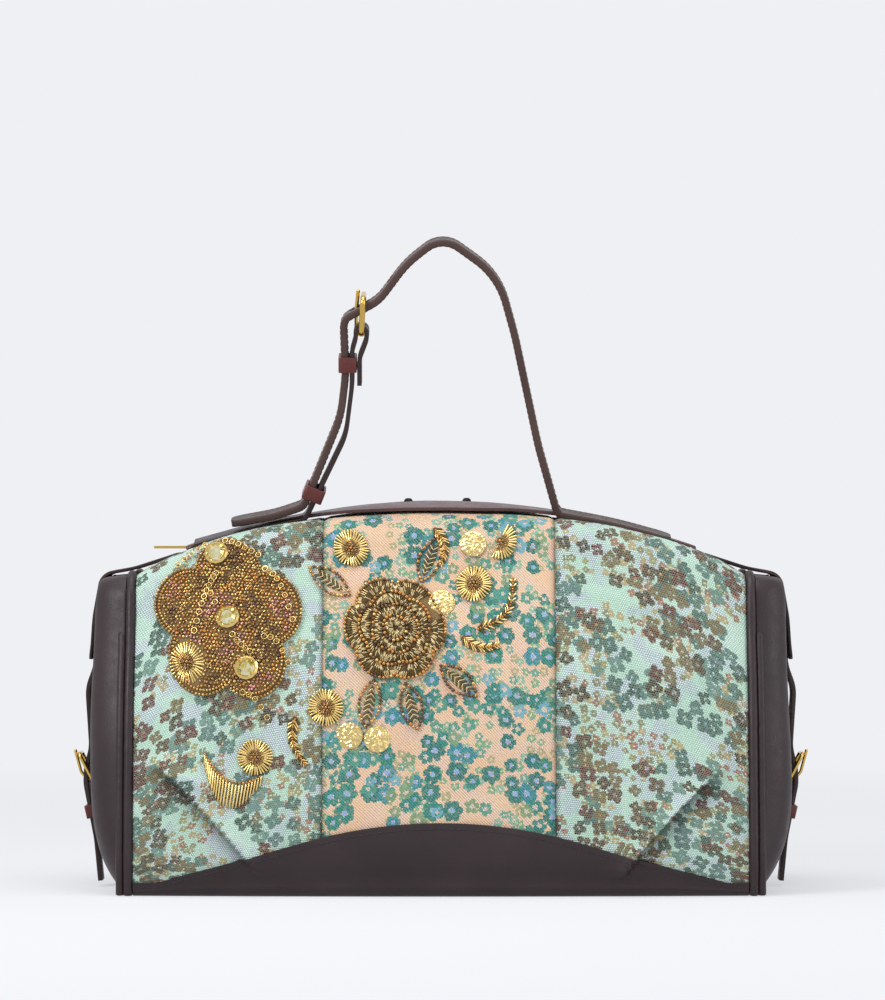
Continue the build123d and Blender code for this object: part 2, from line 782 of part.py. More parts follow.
def belt_parts():
    """The pieces of the right-hand end belt, by name."""
    parts = {}
    with BuildPart() as tongue:
        extrude(strap_face(belt_plane, tongue_path, tongue_bends, tongue_leather), tongue_width / 2, both=True)
        with BuildSketch(Plane.YZ.offset(seam_length / 3)):
            with BuildLine():
                half, tip = tongue_width / 2, tongue_tip_width / 2
                FilletPolyline(
                    (-half, ridge_height),
                    (half, ridge_height),
                    (half, 176),
                    (tip + 1, 134),
                    (tip - 5, 129),
                    (5 - tip, 129),
                    (-tip - 1, 134),
                    (-half, 176),
                    radius=3,
                    close=True,
                )
            make_face()
        extrude(amount=seam_length / 3, mode=Mode.INTERSECT)
    parts["end_tongue"] = tongue.part
    with BuildPart() as belt:
        extrude(strap_face(belt_plane, belt_path, belt_bends, belt_leather), belt_width / 2, both=True)
        for x, z, turn in [belt_hole] + belt_spare_holes:
            length = 6.4 if (x, z, turn) == belt_hole else 4.0
            lean = radians(turn)
            hole_plane = Plane(
                origin=(x, 0, z), x_dir=(cos(lean), 0, sin(lean)), z_dir=(sin(lean), 0, -cos(lean))
            )
            with BuildSketch(hole_plane):
                SlotOverall(length, 2.6)
            extrude(amount=belt_leather, both=True, mode=Mode.SUBTRACT)
    parts["side_strap"] = belt.part
    with BuildPart() as chape:
        extrude(strap_face(belt_plane, chape_path, chape_bends, chape_leather), belt_width / 2, both=True)
        with BuildSketch(belt_plane):
            with Locations((belt_bar[0] + 1, belt_bar[1] + 1)):
                Rectangle(10, 8)
        extrude(amount=prong_slot / 2, both=True, mode=Mode.SUBTRACT)
    parts["side_chape"] = chape.part
    parts["side_buckle"] = buckle_ring(belt_plane, belt_bar, belt_rail, belt_buckle_inner, belt_wire, 2.5)
    parts["side_prong"] = buckle_prong(
        belt_plane, belt_bar, belt_prong_route, 5, belt_wire, 0.9, prong_slot - 1
    )
    parts["side_keeper"] = keeper_loop(belt_plane, (201.0, 44.0), 77.5, -2.35, 3.5, 7.6, belt_width)
    return parts


for name, solid in belt_parts().items():
    with BuildPart() as right_piece:
        add(solid)
    save(right_piece, f"right_{name}")
    with BuildPart() as left_piece:
        mirror(right_piece.part, about=Plane.YZ)
    save(left_piece, f"left_{name}")

# Trimmings on the front: places are distances along the bag and heights
rosette_places = [(-51.3, 193.1), (18.7, 175.6), (-144, 124.6), (-64.9, 106), (-104.8, 78.5)]
disc_places = [(18.2, 198.3), (0.6, 165.5), (-51.5, 90.9), (-35.9, 88.9)]
blossom_place = (-121, 148)
blossom_reach = 44
crystal_places = [(-128, 183), (-121, 148), (-110, 124)]
rose_place = (-26, 150)
rose_reach = 29
leaf_places = [(-38, 121.5, -100), (-20, 119.8, -75), (0, 130, -40), (-52, 167, 150), (-11, 177.5, 70)]
leaf_length = 26
leaf_width = 12

with BuildPart() as bugle_rosettes:
    for x, z in rosette_places:
        with BuildSketch(front_place(x, z, bead_gap)):
            Circle(rosette_radius)
        extrude(amount=rosette_height, taper=35)
save(bugle_rosettes, "bugle_rosettes")

with BuildPart() as hammered_discs:
    for x, z in disc_places:
        with BuildSketch(front_place(x, z, bead_gap)):
            Circle(disc_radius)
        extrude(amount=disc_height, taper=20)
save(hammered_discs, "hammered_discs")

with BuildPart() as crystals:
    for x, z in crystal_places:
        with BuildSketch(front_place(x, z, trim_gap + applique_thickness + bead_gap)):
            RegularPolygon(crystal_radius, 8)
        extrude(amount=crystal_height, taper=38)
save(crystals, "crystals")


def applique_layer(start, end, thickness):
    """An even layer that lies on the front of the tapestry between two places."""
    with BuildPart() as layer:
        places = stations(start, end, 4)
        loft(sections=[wall_section(x, -1, trim_gap, trim_gap + thickness, top_half_width - 2) for x in places])
    return layer.part


# A rounded five-petal blossom, cut away where a rosette lies beside it
with BuildPart() as blossom_applique:
    add(applique_layer(blossom_place[0] - blossom_reach - 4, blossom_place[0] + blossom_reach + 4, applique_thickness))
    with BuildSketch(Plane.XZ):
        with Locations(blossom_place):
            Circle(0.35 * blossom_reach)
            with PolarLocations(0.55 * blossom_reach, 5, 90):
                Circle(0.44 * blossom_reach)
        with Locations(*rosette_places):
            Circle(rosette_radius + 1, mode=Mode.SUBTRACT)
    extrude(amount=2 * half_depth, mode=Mode.INTERSECT)
save(blossom_applique, "blossom_applique")

# A rose with six rounded petals, cut away where a disc lies beside it
with BuildPart() as rose_applique:
    add(applique_layer(rose_place[0] - rose_reach - 4, rose_place[0] + rose_reach + 4, applique_thickness))
    with BuildSketch(Plane.XZ):
        with Locations(rose_place):
            Circle(0.5 * rose_reach)
            with PolarLocations(0.5 * rose_reach, 6):
                Circle(0.5 * rose_reach)
        with Locations(*disc_places):
            Circle(disc_radius + 1, mode=Mode.SUBTRACT)
    extrude(amount=2 * half_depth, mode=Mode.INTERSECT)
save(rose_applique, "rose_applique")

# Leaves round the rose: a length along the leaf from its stalk, and its turn
with BuildPart() as rose_leaves:
    add(applique_layer(-84, 24, applique_thickness / 2))
    with BuildSketch(Plane.XZ):
        for x, z, turn in leaf_places:
            with Locations(Location((x, z, 0), (0, 0, turn))):
                with BuildSketch(mode=Mode.PRIVATE) as leaf:
                    with BuildLine():
                        ThreePointArc((0, 0), (leaf_length / 2, leaf_width / 2), (leaf_length, 0))
                        ThreePointArc((leaf_length, 0), (leaf_length / 2, -leaf_width / 2), (0, 0))
                    make_face()
                add(leaf.sketch)
    extrude(amount=2 * half_depth, mode=Mode.INTERSECT)
save(rose_leaves, "rose_leaves")
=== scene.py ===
"""Soft bowling bag: patchwork tapestry, dark leather and beaded flowers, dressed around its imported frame."""

import logging
import math
import random
from dataclasses import dataclass, field
from enum import Enum
from typing import Callable, Iterable, Sequence

import bmesh
import bpy
import numpy as np
from mathutils import Matrix, Vector, noise


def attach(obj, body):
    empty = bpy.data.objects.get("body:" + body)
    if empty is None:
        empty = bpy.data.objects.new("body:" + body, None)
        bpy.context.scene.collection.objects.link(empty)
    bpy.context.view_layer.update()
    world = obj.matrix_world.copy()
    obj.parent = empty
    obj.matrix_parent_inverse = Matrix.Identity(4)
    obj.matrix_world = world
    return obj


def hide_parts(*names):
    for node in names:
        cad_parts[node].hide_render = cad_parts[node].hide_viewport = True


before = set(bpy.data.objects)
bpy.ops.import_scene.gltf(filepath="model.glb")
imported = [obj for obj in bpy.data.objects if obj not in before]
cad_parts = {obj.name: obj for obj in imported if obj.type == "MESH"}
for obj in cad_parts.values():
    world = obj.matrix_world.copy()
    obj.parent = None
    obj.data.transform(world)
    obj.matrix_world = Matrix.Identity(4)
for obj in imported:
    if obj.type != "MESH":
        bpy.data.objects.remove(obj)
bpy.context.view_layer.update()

log = logging.getLogger("bowling_bag")

MM = 0.001


class Side(Enum):
    """The two long walls of the bag."""

    FRONT = -1
    BACK = 1


class End(Enum):
    """The two ends of the bag, seen from the front."""

    LEFT = -1
    RIGHT = 1


class SmoothLine:
    """A smooth curve through a few points, measured along its chords."""

    def __init__(self, points: Sequence[Sequence[float]], start: Sequence[float] | None = None,
                 end: Sequence[float] | None = None) -> None:
        """Fits a cubic spline.

        Args:
            points: the points that the curve passes through.
            start: direction at the first point, or None for a free end.
            end: direction at the last point, or None for a free end.
        """
        self.points = np.array(points, float)
        runs = np.linalg.norm(np.diff(self.points, axis=0), axis=1)
        self.knots = np.concatenate([[0.0], np.cumsum(runs)])
        count = len(self.points)
        system = np.zeros((count, count))
        target = np.zeros_like(self.points)
        for i in range(1, count - 1):
            before, after = runs[i - 1], runs[i]
            system[i, i - 1:i + 2] = after, 2 * (before + after), before
            step_in = (self.points[i] - self.points[i - 1]) / before
            step_out = (self.points[i + 1] - self.points[i]) / after
            target[i] = 3 * (after * step_in + before * step_out)
        for row, near, run, given in ((0, 1, runs[0], start), (count - 1, count - 2, runs[-1], end)):
            if given is not None:
                system[row, row] = 1.0
                target[row] = np.array(given, float) / np.linalg.norm(given)
            else:
                system[row, row], system[row, near] = 2.0, 1.0
                sign = 1 if row == 0 else -1
                target[row] = 3 * sign * (self.points[near] - self.points[row]) / run
        self.slopes = np.linalg.solve(system, target)

    def at(self, share: float) -> np.ndarray:
        """The point at a share of the chord length from 0 to 1."""
        place = min(max(share, 0.0), 1.0) * self.knots[-1]
        i = int(np.clip(np.searchsorted(self.knots, place) - 1, 0, len(self.points) - 2))
        run = self.knots[i + 1] - self.knots[i]
        t = (place - self.knots[i]) / run
        return ((2 * t**3 - 3 * t**2 + 1) * self.points[i] + (t**3 - 2 * t**2 + t) * run * self.slopes[i]
                + (3 * t**2 - 2 * t**3) * self.points[i + 1] + (t**3 - t**2) * run * self.slopes[i + 1])

    def sample(self, count: int) -> np.ndarray:
        """Evenly shared points from end to end."""
        return np.array([self.at(i / (count - 1)) for i in range(count)])


def ease(value: float) -> float:
    """A smooth step from 0 to 1 as value goes from 0 to 1."""
    held = min(max(value, 0.0), 1.0)
    return held * held * (3 - 2 * held)


def waves(x: float, y: float, seed: float) -> float:
    """Soft random waves between about -1 and 1, the same on every run."""
    return noise.noise(Vector((x, y, seed))) * 1.6


@dataclass(frozen=True)
class Fold:
    """A soft fold in the tapestry, from one place on the wall to another."""

    start: tuple[float, float]
    end: tuple[float, float]
    height: float
    soft: float
    crisp: float

    def lift(self, x: float, z: float) -> float:
        """How far the fold raises the cloth at a place along the bag and a height."""
        run = Vector((self.end[0] - self.start[0], self.end[1] - self.start[1]))
        arm = Vector((x - self.start[0], z - self.start[1]))
        along = arm.dot(run) / run.length_squared
        across = (run.x * arm.y - run.y * arm.x) / run.length
        window = ease(along / 0.25 + 0.5) * ease((1 - along) / 0.25 + 0.2)
        if across > 0:
            lip = 0.62 * math.exp(-((across / self.soft) ** 2)) + 0.38 * math.exp(-((across / (0.22 * self.soft)) ** 2))
            return self.height * window * lip
        return self.height * window * math.exp(-((across / self.crisp) ** 2))

    def shade(self, x: float, z: float) -> float:
        """How much painted shade darkens the cloth's colour in the pocket beside a crisp fold, from 0 to 1."""
        if self.crisp > 2 * MM:
            return 0.0
        run = Vector((self.end[0] - self.start[0], self.end[1] - self.start[1]))
        arm = Vector((x - self.start[0], z - self.start[1]))
        along = arm.dot(run) / run.length_squared
        across = (run.x * arm.y - run.y * arm.x) / run.length
        window = ease(along / 0.25 + 0.5) * ease((1 - along) / 0.25 + 0.2)
        pocket = math.exp(-((max(0.0, -across) / (4.5 * MM)) ** 1.3)) if across < 0.6 * MM else 0.0
        return window * pocket


@dataclass(frozen=True)
class BagForm:
    """The shape that every soft piece follows: an arched box with round shoulders."""

    half_seam: float = 174 * MM
    ridge_height: float = 221 * MM
    ridge_drop: float = 38 * MM
    half_depth: float = 84 * MM
    top_half_width: float = 32 * MM
    top_slope: float = math.radians(10)
    end_narrowing: float = 6 * MM
    crown_drop: float = 31 * MM
    base_corner: float = 6 * MM
    zip_gap: float = 8 * MM
    seam_left: float = -67 * MM
    seam_right: float = 65 * MM
    pleat_foot: float = 98.7 * MM
    pleat_head: tuple[float, float] = (156 * MM, 86 * MM)
    samples: int = 240
    table: dict = field(default_factory=dict)

    @property
    def axis_depth(self) -> float:
        """How far the arch's axis lies under the floor."""
        return (self.half_seam**2 + self.ridge_drop**2) / (2 * self.ridge_drop) - self.ridge_height

    def top_height(self, distance: float) -> float:
        """Height of the roof at mid-length, that far from the middle plane."""
        return self.ridge_height - distance * math.tan(self.top_slope)

    def profile(self) -> dict:
        """The wall's outline at mid-length: places, outward directions and length along it."""
        if not self.table:
            depth = self.half_depth
            shoulder = (self.top_half_width, self.top_height(self.top_half_width))
            wall = SmoothLine(
                [(depth - 3 * MM, self.base_corner), (depth - 1 * MM, 20 * MM), (depth, 42 * MM),
                 (depth - 4 * MM, 95 * MM), (depth - 8.7 * MM, 130 * MM), (depth - 14 * MM, 150 * MM),
                 (depth - 24.1 * MM, 175 * MM), (depth - 31 * MM, 194 * MM), (depth - 34.5 * MM, 205 * MM),
                 (depth - 40 * MM, 211 * MM), shoulder],
                start=(0, 1), end=(-math.cos(self.top_slope), math.sin(self.top_slope)))
            points = wall.sample(self.samples)
            flat = [(shoulder[0] + (self.zip_gap - shoulder[0]) * i / 40,
                     self.top_height(shoulder[0] + (self.zip_gap - shoulder[0]) * i / 40)) for i in range(1, 41)]
            points = np.vstack([points, flat])
            tangents = np.gradient(points, axis=0)
            tangents /= np.linalg.norm(tangents, axis=1)[:, None]
            self.table["points"] = points
            self.table["normals"] = np.column_stack([tangents[:, 1], -tangents[:, 0]])
            steps = np.linalg.norm(np.diff(points, axis=0), axis=1)
            self.table["lengths"] = np.concatenate([[0.0], np.cumsum(steps)])
        return self.table

    @property
    def wall_length(self) -> float:
        """Length of the cloth from the bottom edge up to the zip."""
        return float(self.profile()["lengths"][-1])

    def at_station(self, x: float, y: float, z: float) -> tuple[float, float]:
        """Where a point of the mid-length outline lies in the section at x."""
        radius = z + self.axis_depth
        fall = radius - math.sqrt(radius**2 - x**2)
        share = min(1.0, max(0.0, z) / (0.8 * self.ridge_height))
        outward = max(0.0, (y - self.top_half_width) / (self.half_depth - self.top_half_width))
        return y - self.end_narrowing * outward * (x / self.half_seam) ** 2, z - share * fall

    def place(self, side: Side, x: float, along: float, lift: float) -> Vector:
        """A point over the cloth.

        Args:
            side: front or back.
            x: place along the bag.
            along: length along the wall from its bottom edge.
            lift: distance outwards from the cloth's outer face.

        Returns:
            The point in metres.
        """
        data = self.profile()
        lengths = data["lengths"]
        y, z = (float(np.interp(along, lengths, data["points"][:, k])) for k in (0, 1))
        out_y, out_z = (float(np.interp(along, lengths, data["normals"][:, k])) for k in (0, 1))
        below = min(along, 0.0)
        puff = self.crown(x, y, z)
        y, z = self.at_station(x, y + lift * out_y, z + lift * out_z + below)
        return Vector((x, side.value * y, z + puff))

    def crown(self, x: float, distance: float, height: float) -> float:
        """How far the cloth stands above the plain arch beside the zip: the soft roof puffs up towards the ends."""
        share = abs(x) / self.half_seam
        rise = self.ridge_drop * share**2 - self.crown_drop * share**3.3
        return rise * ease((distance - self.zip_gap) / (40 * MM)) * ease((height - 90 * MM) / (95 * MM))

    def along_at(self, x: float, z: float) -> float:
        """The length along the wall at which it reaches a height in the section at x."""
        data = self.profile()
        height = data["points"][:, 1]
        radius = height + self.axis_depth
        share = np.clip(height / (0.8 * self.ridge_height), 0, 1)
        return float(np.interp(z, height - share * (radius - np.sqrt(radius**2 - x**2)), data["lengths"]))

    def outward(self, side: Side, x: float, along: float) -> Vector:
        """The direction straight out of the cloth at a place."""
        step = 1.5 * MM
        run_x = self.place(side, x + step, along, 0) - self.place(side, x - step, along, 0)
        run_s = self.place(side, x, along + step, 0) - self.place(side, x, along - step, 0)
        normal = run_x.cross(run_s) * (-side.value)
        return normal.normalized()


FORM = BagForm()

FRONT_FOLDS = (
    Fold((96 * MM, 0), (160 * MM, 93 * MM), 6.0 * MM, 20 * MM, 1.3 * MM),
    Fold((-160 * MM, 93 * MM), (-98 * MM, 2 * MM), 4.6 * MM, 17 * MM, 1.3 * MM),
    Fold((138 * MM, 152 * MM), (168 * MM, 93 * MM), 3.2 * MM, 8 * MM, 5 * MM),
    Fold((-170 * MM, 100 * MM), (-126 * MM, 66 * MM), 2.6 * MM, 7 * MM, 4 * MM),
    Fold((70 * MM, 176 * MM), (128 * MM, 168 * MM), 1.8 * MM, 9 * MM, 7 * MM),
)


def cloth_lift(side: Side, x: float, along: float) -> float:
    """How far folds and slack raise the tapestry at a place."""
    z = along
    lift = 0.0
    mirrored = x if side is Side.FRONT else -x
    for fold in FRONT_FOLDS:
        lift += fold.lift(mirrored, z)
    foot = ease(along / (14 * MM))
    edge = foot * ease((FORM.half_seam - abs(x)) / (16 * MM)) * ease((FORM.wall_length - along) / (45 * MM))
    seed = 3.1 if side is Side.FRONT else 9.7
    slack = 1.1 * MM * waves(x * 14, z * 20, seed) + 0.6 * MM * waves(x * 38, z * 30, seed + 4)
    return lift * edge + (max(slack, -0.9 * MM) + 0.7 * MM) * edge


def painted_fold_and_seam_shade(side: Side, x: float, along: float) -> float:
    """How much painted shade the folds and seams put on the cloth's colour at a place, from 0 to 1."""
    mirrored = x if side is Side.FRONT else -x
    return min(1.0, max(fold.shade(mirrored, along) for fold in FRONT_FOLDS) + 0.6 * seam_dip(x))


def seam_dip(x: float) -> float:
    """How deep the cloth is pulled in beside the two upright seams, from 0 to 1."""
    near = min(abs(x - FORM.seam_left), abs(x - FORM.seam_right))
    return math.exp(-((near / (1.6 * MM)) ** 2))


def wall_place(x: float, z: float, lift: float, side: Side = Side.FRONT) -> tuple[Vector, Vector]:
    """A point over the finished cloth and the direction out of it.

    Args:
        x: place along the bag.
        z: height of the place on the plain wall.
        lift: distance outwards from the finished cloth.
        side: front or back.

    Returns:
        The point and the outward direction.
    """
    along = FORM.along_at(x, z)
    point = FORM.place(side, x, along, lift + cloth_lift(side, x, along))
    return point, FORM.outward(side, x, along)


def hex_colour(code: str) -> tuple[float, float, float, float]:
    """Turns an sRGB hex value to linear colour for a shader.

    Args:
        code: six hex digits.

    Returns:
        Linear red, green, blue and a full alpha.
    """
    levels = [int(code[i:i + 2], 16) / 255 for i in (0, 2, 4)]
    linear = [v / 12.92 if v <= 0.04045 else ((v + 0.055) / 1.055) ** 2.4 for v in levels]
    return (*linear, 1.0)


def add_node(tree: bpy.types.NodeTree, kind: str, settings: dict | None = None, inputs: dict | None = None,
             output: int | str = 0) -> bpy.types.NodeSocket | None:
    """Adds one node with its settings and links.

    Args:
        tree: the material's node tree.
        kind: the node's type name.
        settings: properties to set on the node.
        inputs: values or sockets for its inputs, by name or number.
        output: which output to hand back.

    Returns:
        The chosen output socket.
    """
    node = tree.nodes.new(kind)
    for name, value in (settings or {}).items():
        setattr(node, name, value)
    for key, value in (inputs or {}).items():
        if isinstance(value, bpy.types.NodeSocket):
            tree.links.new(value, node.inputs[key])
        else:
            node.inputs[key].default_value = value
    return node.outputs[output] if node.outputs else None


MATH = "ShaderNodeMath"
MIX = "ShaderNodeMix"
NOISE = "ShaderNodeTexNoise"
VECTOR = "ShaderNodeVectorMath"
VORONOI = "ShaderNodeTexVoronoi"
RANGE = "ShaderNodeMapRange"
SHADER = "ShaderNodeBsdfPrincipled"
BUMP = "ShaderNodeBump"
MIX_A, MIX_B = 6, 7
MIX_COLOUR = 2


def new_material(name: str) -> tuple[bpy.types.Material, bpy.types.NodeTree]:
    """An empty node material."""
    material = bpy.data.materials.new(name)
    material.use_nodes = True
    material.node_tree.nodes.clear()
    return material, material.node_tree


def close_material(tree: bpy.types.NodeTree, shader: bpy.types.NodeSocket) -> None:
    """Links the finished shader to the material's output."""
    add_node(tree, "ShaderNodeOutputMaterial", inputs={"Surface": shader})


@dataclass(frozen=True)
class Blossoms:
    """One layer of small woven flowers in a jacquard: sizes in millimetres and the yarns of its petals."""

    pitch: float
    reach: float
    petals: int
    colours: tuple[str, ...]
    heart: str
    heart_share: float
    cover: float
    cluster: float
    shift: float


@dataclass(frozen=True)
class Jacquard:
    """Jacquard tapestry, woven in coloured yarns: small flowers broken into the steps of a coarse weave."""

    name: str
    ground: str
    ground_light: str
    gap: str
    streak: str
    petal_gap: str
    layers: tuple[Blossoms, ...]
    twill: bool = False
    yarn: float = 1.25
    step: float = 0.75
    roughness: float = 0.88

    def material(self) -> bpy.types.Material:
        """Builds the woven cloth on the piece's own map, which is in real metres."""
        material, tree = new_material(self.name)
        map_uv = add_node(tree, "ShaderNodeUVMap", {"uv_map": "cloth"})
        cloth = add_node(tree, VECTOR, {"operation": "SCALE"}, {0: map_uv, "Scale": 1000.0})
        # Flowers are drawn in whole steps of the weave, as a loom does
        stepped = add_node(tree, VECTOR, {"operation": "SNAP"}, {0: cloth, 1: (self.step, self.step, self.step)})
        height = self.weave(tree, cloth)
        drift = add_node(tree, NOISE, {"noise_dimensions": "2D"}, {"Vector": cloth, "Scale": 0.03, "Detail": 2.0})
        shade = add_node(tree, RANGE, None, {0: drift, 1: 0.4, 2: 0.6})
        tops = add_node(tree, MIX, {"data_type": "RGBA"},
                        {0: shade, MIX_A: hex_colour(self.ground), MIX_B: hex_colour(self.ground_light)}, MIX_COLOUR)
        patch = add_node(tree, NOISE, {"noise_dimensions": "2D"}, {"Vector": cloth, "Scale": 0.06, "Detail": 4.0})
        patch = add_node(tree, RANGE, None, {0: patch, 1: 0.46, 2: 0.56})
        gaps = add_node(tree, MIX, {"data_type": "RGBA"},
                        {0: patch, MIX_A: hex_colour(self.gap), MIX_B: hex_colour(self.streak)}, MIX_COLOUR)
        for layer in self.layers:
            tops, gaps = self.flowers(tree, stepped, tops, gaps, layer)
        over = add_node(tree, RANGE, None, {0: height, 1: 0.16, 2: 0.36})
        colour = add_node(tree, MIX, {"data_type": "RGBA"}, {0: over, MIX_A: gaps, MIX_B: tops}, MIX_COLOUR)
        # Painted shade: the cloth's colour is darkened to as little as 0.3 of itself in the pockets beside crisp folds
        # and beside the seams, where shade would fall.
        pocket = add_node(tree, "ShaderNodeAttribute", {"attribute_name": "crease"}, None, "Fac")
        light = add_node(tree, RANGE, None, {0: pocket, 1: 0.0, 2: 1.0, 3: 1.0, 4: 0.3})
        colour = add_node(tree, VECTOR, {"operation": "SCALE"}, {0: colour, "Scale": light})
        bump = add_node(tree, BUMP, None, {"Strength": 0.5, "Distance": 0.0006, "Height": height})
        shader = add_node(tree, SHADER, None, {
            "Base Color": colour, "Roughness": self.roughness, "Specular IOR Level": 0.2, "Normal": bump})
        close_material(tree, shader)
        return material

    def flowers(self, tree: bpy.types.NodeTree, cloth: bpy.types.NodeSocket, tops: bpy.types.NodeSocket,
                gaps: bpy.types.NodeSocket, layer: Blossoms) -> tuple[bpy.types.NodeSocket, bpy.types.NodeSocket]:
        """Adds one layer of flowers: each cell of a scattered pattern holds one, in a yarn of its own.

        Args:
            tree: the material's node tree.
            cloth: the place on the cloth in steps of the weave, in millimetres.
            tops: colour of the yarns on top so far.
            gaps: colour between them so far.
            layer: the flowers.

        Returns:
            The two colours with the flowers added.
        """
        moved = add_node(tree, VECTOR, {"operation": "ADD"}, {0: cloth, 1: (layer.shift, layer.shift * 0.7, 0)})
        cells = add_node(tree, VORONOI, {"voronoi_dimensions": "2D", "feature": "F1"},
                         {"Vector": moved, "Scale": 1 / layer.pitch, "Randomness": 0.7}, "Position").node
        # The Position output is used as it is, in the pattern's own scale
        heart_at = cells.outputs["Position"]
        arm = add_node(tree, VECTOR, {"operation": "SUBTRACT"}, {0: moved, 1: heart_at})
        parts = add_node(tree, "ShaderNodeSeparateXYZ", None, {0: arm}).node
        dice = add_node(tree, "ShaderNodeSeparateColor", None, {0: cells.outputs["Color"]}).node
        reach = add_node(tree, VECTOR, {"operation": "LENGTH"}, {0: arm}, "Value")
        size = add_node(tree, MATH, {"operation": "MULTIPLY_ADD"}, {0: dice.outputs[1], 1: 0.4, 2: 0.72})
        reach = add_node(tree, MATH, {"operation": "DIVIDE"}, {0: reach, 1: size})
        angle = add_node(tree, MATH, {"operation": "ARCTAN2"}, {0: parts.outputs[1], 1: parts.outputs[0]})
        turn = add_node(tree, MATH, {"operation": "MULTIPLY_ADD"}, {0: dice.outputs[0], 1: math.tau, 2: angle})
        folded = add_node(tree, MATH, {"operation": "PINGPONG"}, {0: turn, 1: math.pi / layer.petals})
        cosine = add_node(tree, MATH, {"operation": "COSINE"}, {0: folded})
        along = add_node(tree, MATH, {"operation": "MULTIPLY"}, {0: reach, 1: cosine})
        # Each petal is a disc, so a point is inside when its distance from the petal's middle is small
        middle, round_off = 0.58 * layer.reach, (0.42 if layer.petals == 4 else 0.34) * layer.reach
        bend = add_node(tree, MATH, {"operation": "MULTIPLY_ADD"},
                        {0: along, 1: -2 * middle, 2: middle**2 - round_off**2})
        test = add_node(tree, MATH, {"operation": "MULTIPLY_ADD"}, {0: reach, 1: reach, 2: bend})
        inside = add_node(tree, MATH, {"operation": "LESS_THAN"}, {0: test, 1: 0.0})
        bunch = add_node(tree, NOISE, {"noise_dimensions": "2D"},
                         {"Vector": heart_at, "Scale": 1 / layer.cluster, "Detail": 1.0})
        picked = add_node(tree, MATH, {"operation": "GREATER_THAN"}, {0: bunch, 1: layer.cover})
        mask = add_node(tree, MATH, {"operation": "MULTIPLY"}, {0: inside, 1: picked})
        ramp = add_node(tree, "ShaderNodeValToRGB", None, {0: dice.outputs[2]}).node
        ramp.color_ramp.interpolation = "CONSTANT"
        for i, code in enumerate(layer.colours):
            if i >= 2:
                ramp.color_ramp.elements.new(i / len(layer.colours))
            ramp.color_ramp.elements[i].position = i / len(layer.colours)
            ramp.color_ramp.elements[i].color = hex_colour(code)
        mottle = add_node(tree, "ShaderNodeTexWhiteNoise", {"noise_dimensions": "2D"}, {"Vector": cloth})
        solid = add_node(tree, RANGE, None, {0: mottle, 1: 0.0, 2: 0.5, 3: 0.72, 4: 1.0})
        amount = add_node(tree, MATH, {"operation": "MULTIPLY"}, {0: mask, 1: solid})
        flower = add_node(tree, MIX, {"data_type": "RGBA"}, {0: amount, MIX_A: tops, MIX_B: ramp.outputs[0]},
                          MIX_COLOUR)
        core = add_node(tree, MATH, {"operation": "LESS_THAN"}, {0: reach, 1: layer.heart_share * layer.reach})
        core = add_node(tree, MATH, {"operation": "MULTIPLY"}, {0: core, 1: picked})
        flower = add_node(tree, MIX, {"data_type": "RGBA"}, {0: core, MIX_A: flower, MIX_B: hex_colour(layer.heart)},
                          MIX_COLOUR)
        # Between a petal's yarns some of its colour shows, and some of the pale ground
        half = add_node(tree, MIX, {"data_type": "RGBA"},
                        {0: 0.5, MIX_A: ramp.outputs[0], MIX_B: hex_colour(self.petal_gap)}, MIX_COLOUR)
        under = add_node(tree, MIX, {"data_type": "RGBA"}, {0: mask, MIX_A: gaps, MIX_B: half}, MIX_COLOUR)
        return flower, under

    def weave(self, tree: bpy.types.NodeTree, cloth: bpy.types.NodeSocket) -> bpy.types.NodeSocket:
        """Yarns crossing in brick order, or in slanting twill lines, drawn a little coarser than they are so
        that they show; the height is 1 on top of a yarn and 0 between two."""
        parts = add_node(tree, "ShaderNodeSeparateXYZ", None, {0: cloth}).node
        if self.twill:
            run = add_node(tree, MATH, {"operation": "ADD"}, {0: parts.outputs[0], 1: parts.outputs[1]})
            run = add_node(tree, MATH, {"operation": "DIVIDE"}, {0: run, 1: 1.42 * self.yarn})
            swing = add_node(tree, MATH, {"operation": "FRACT"}, {0: run})
            swing = add_node(tree, MATH, {"operation": "MULTIPLY"}, {0: swing, 1: math.pi})
            return add_node(tree, MATH, {"operation": "SINE"}, {0: swing})
        row = add_node(tree, MATH, {"operation": "DIVIDE"}, {0: parts.outputs[1], 1: self.yarn})
        level = add_node(tree, MATH, {"operation": "FLOOR"}, {0: row})
        across = add_node(tree, MATH, {"operation": "DIVIDE"}, {0: parts.outputs[0], 1: self.yarn})
        across = add_node(tree, MATH, {"operation": "MULTIPLY_ADD"}, {0: level, 1: 0.5, 2: across})
        swings = []
        for value in (row, across):
            swing = add_node(tree, MATH, {"operation": "FRACT"}, {0: value})
            swing = add_node(tree, MATH, {"operation": "MULTIPLY"}, {0: swing, 1: math.pi})
            swings.append(add_node(tree, MATH, {"operation": "SINE"}, {0: swing}))
        return add_node(tree, MATH, {"operation": "MULTIPLY"}, {0: swings[0], 1: swings[1]})


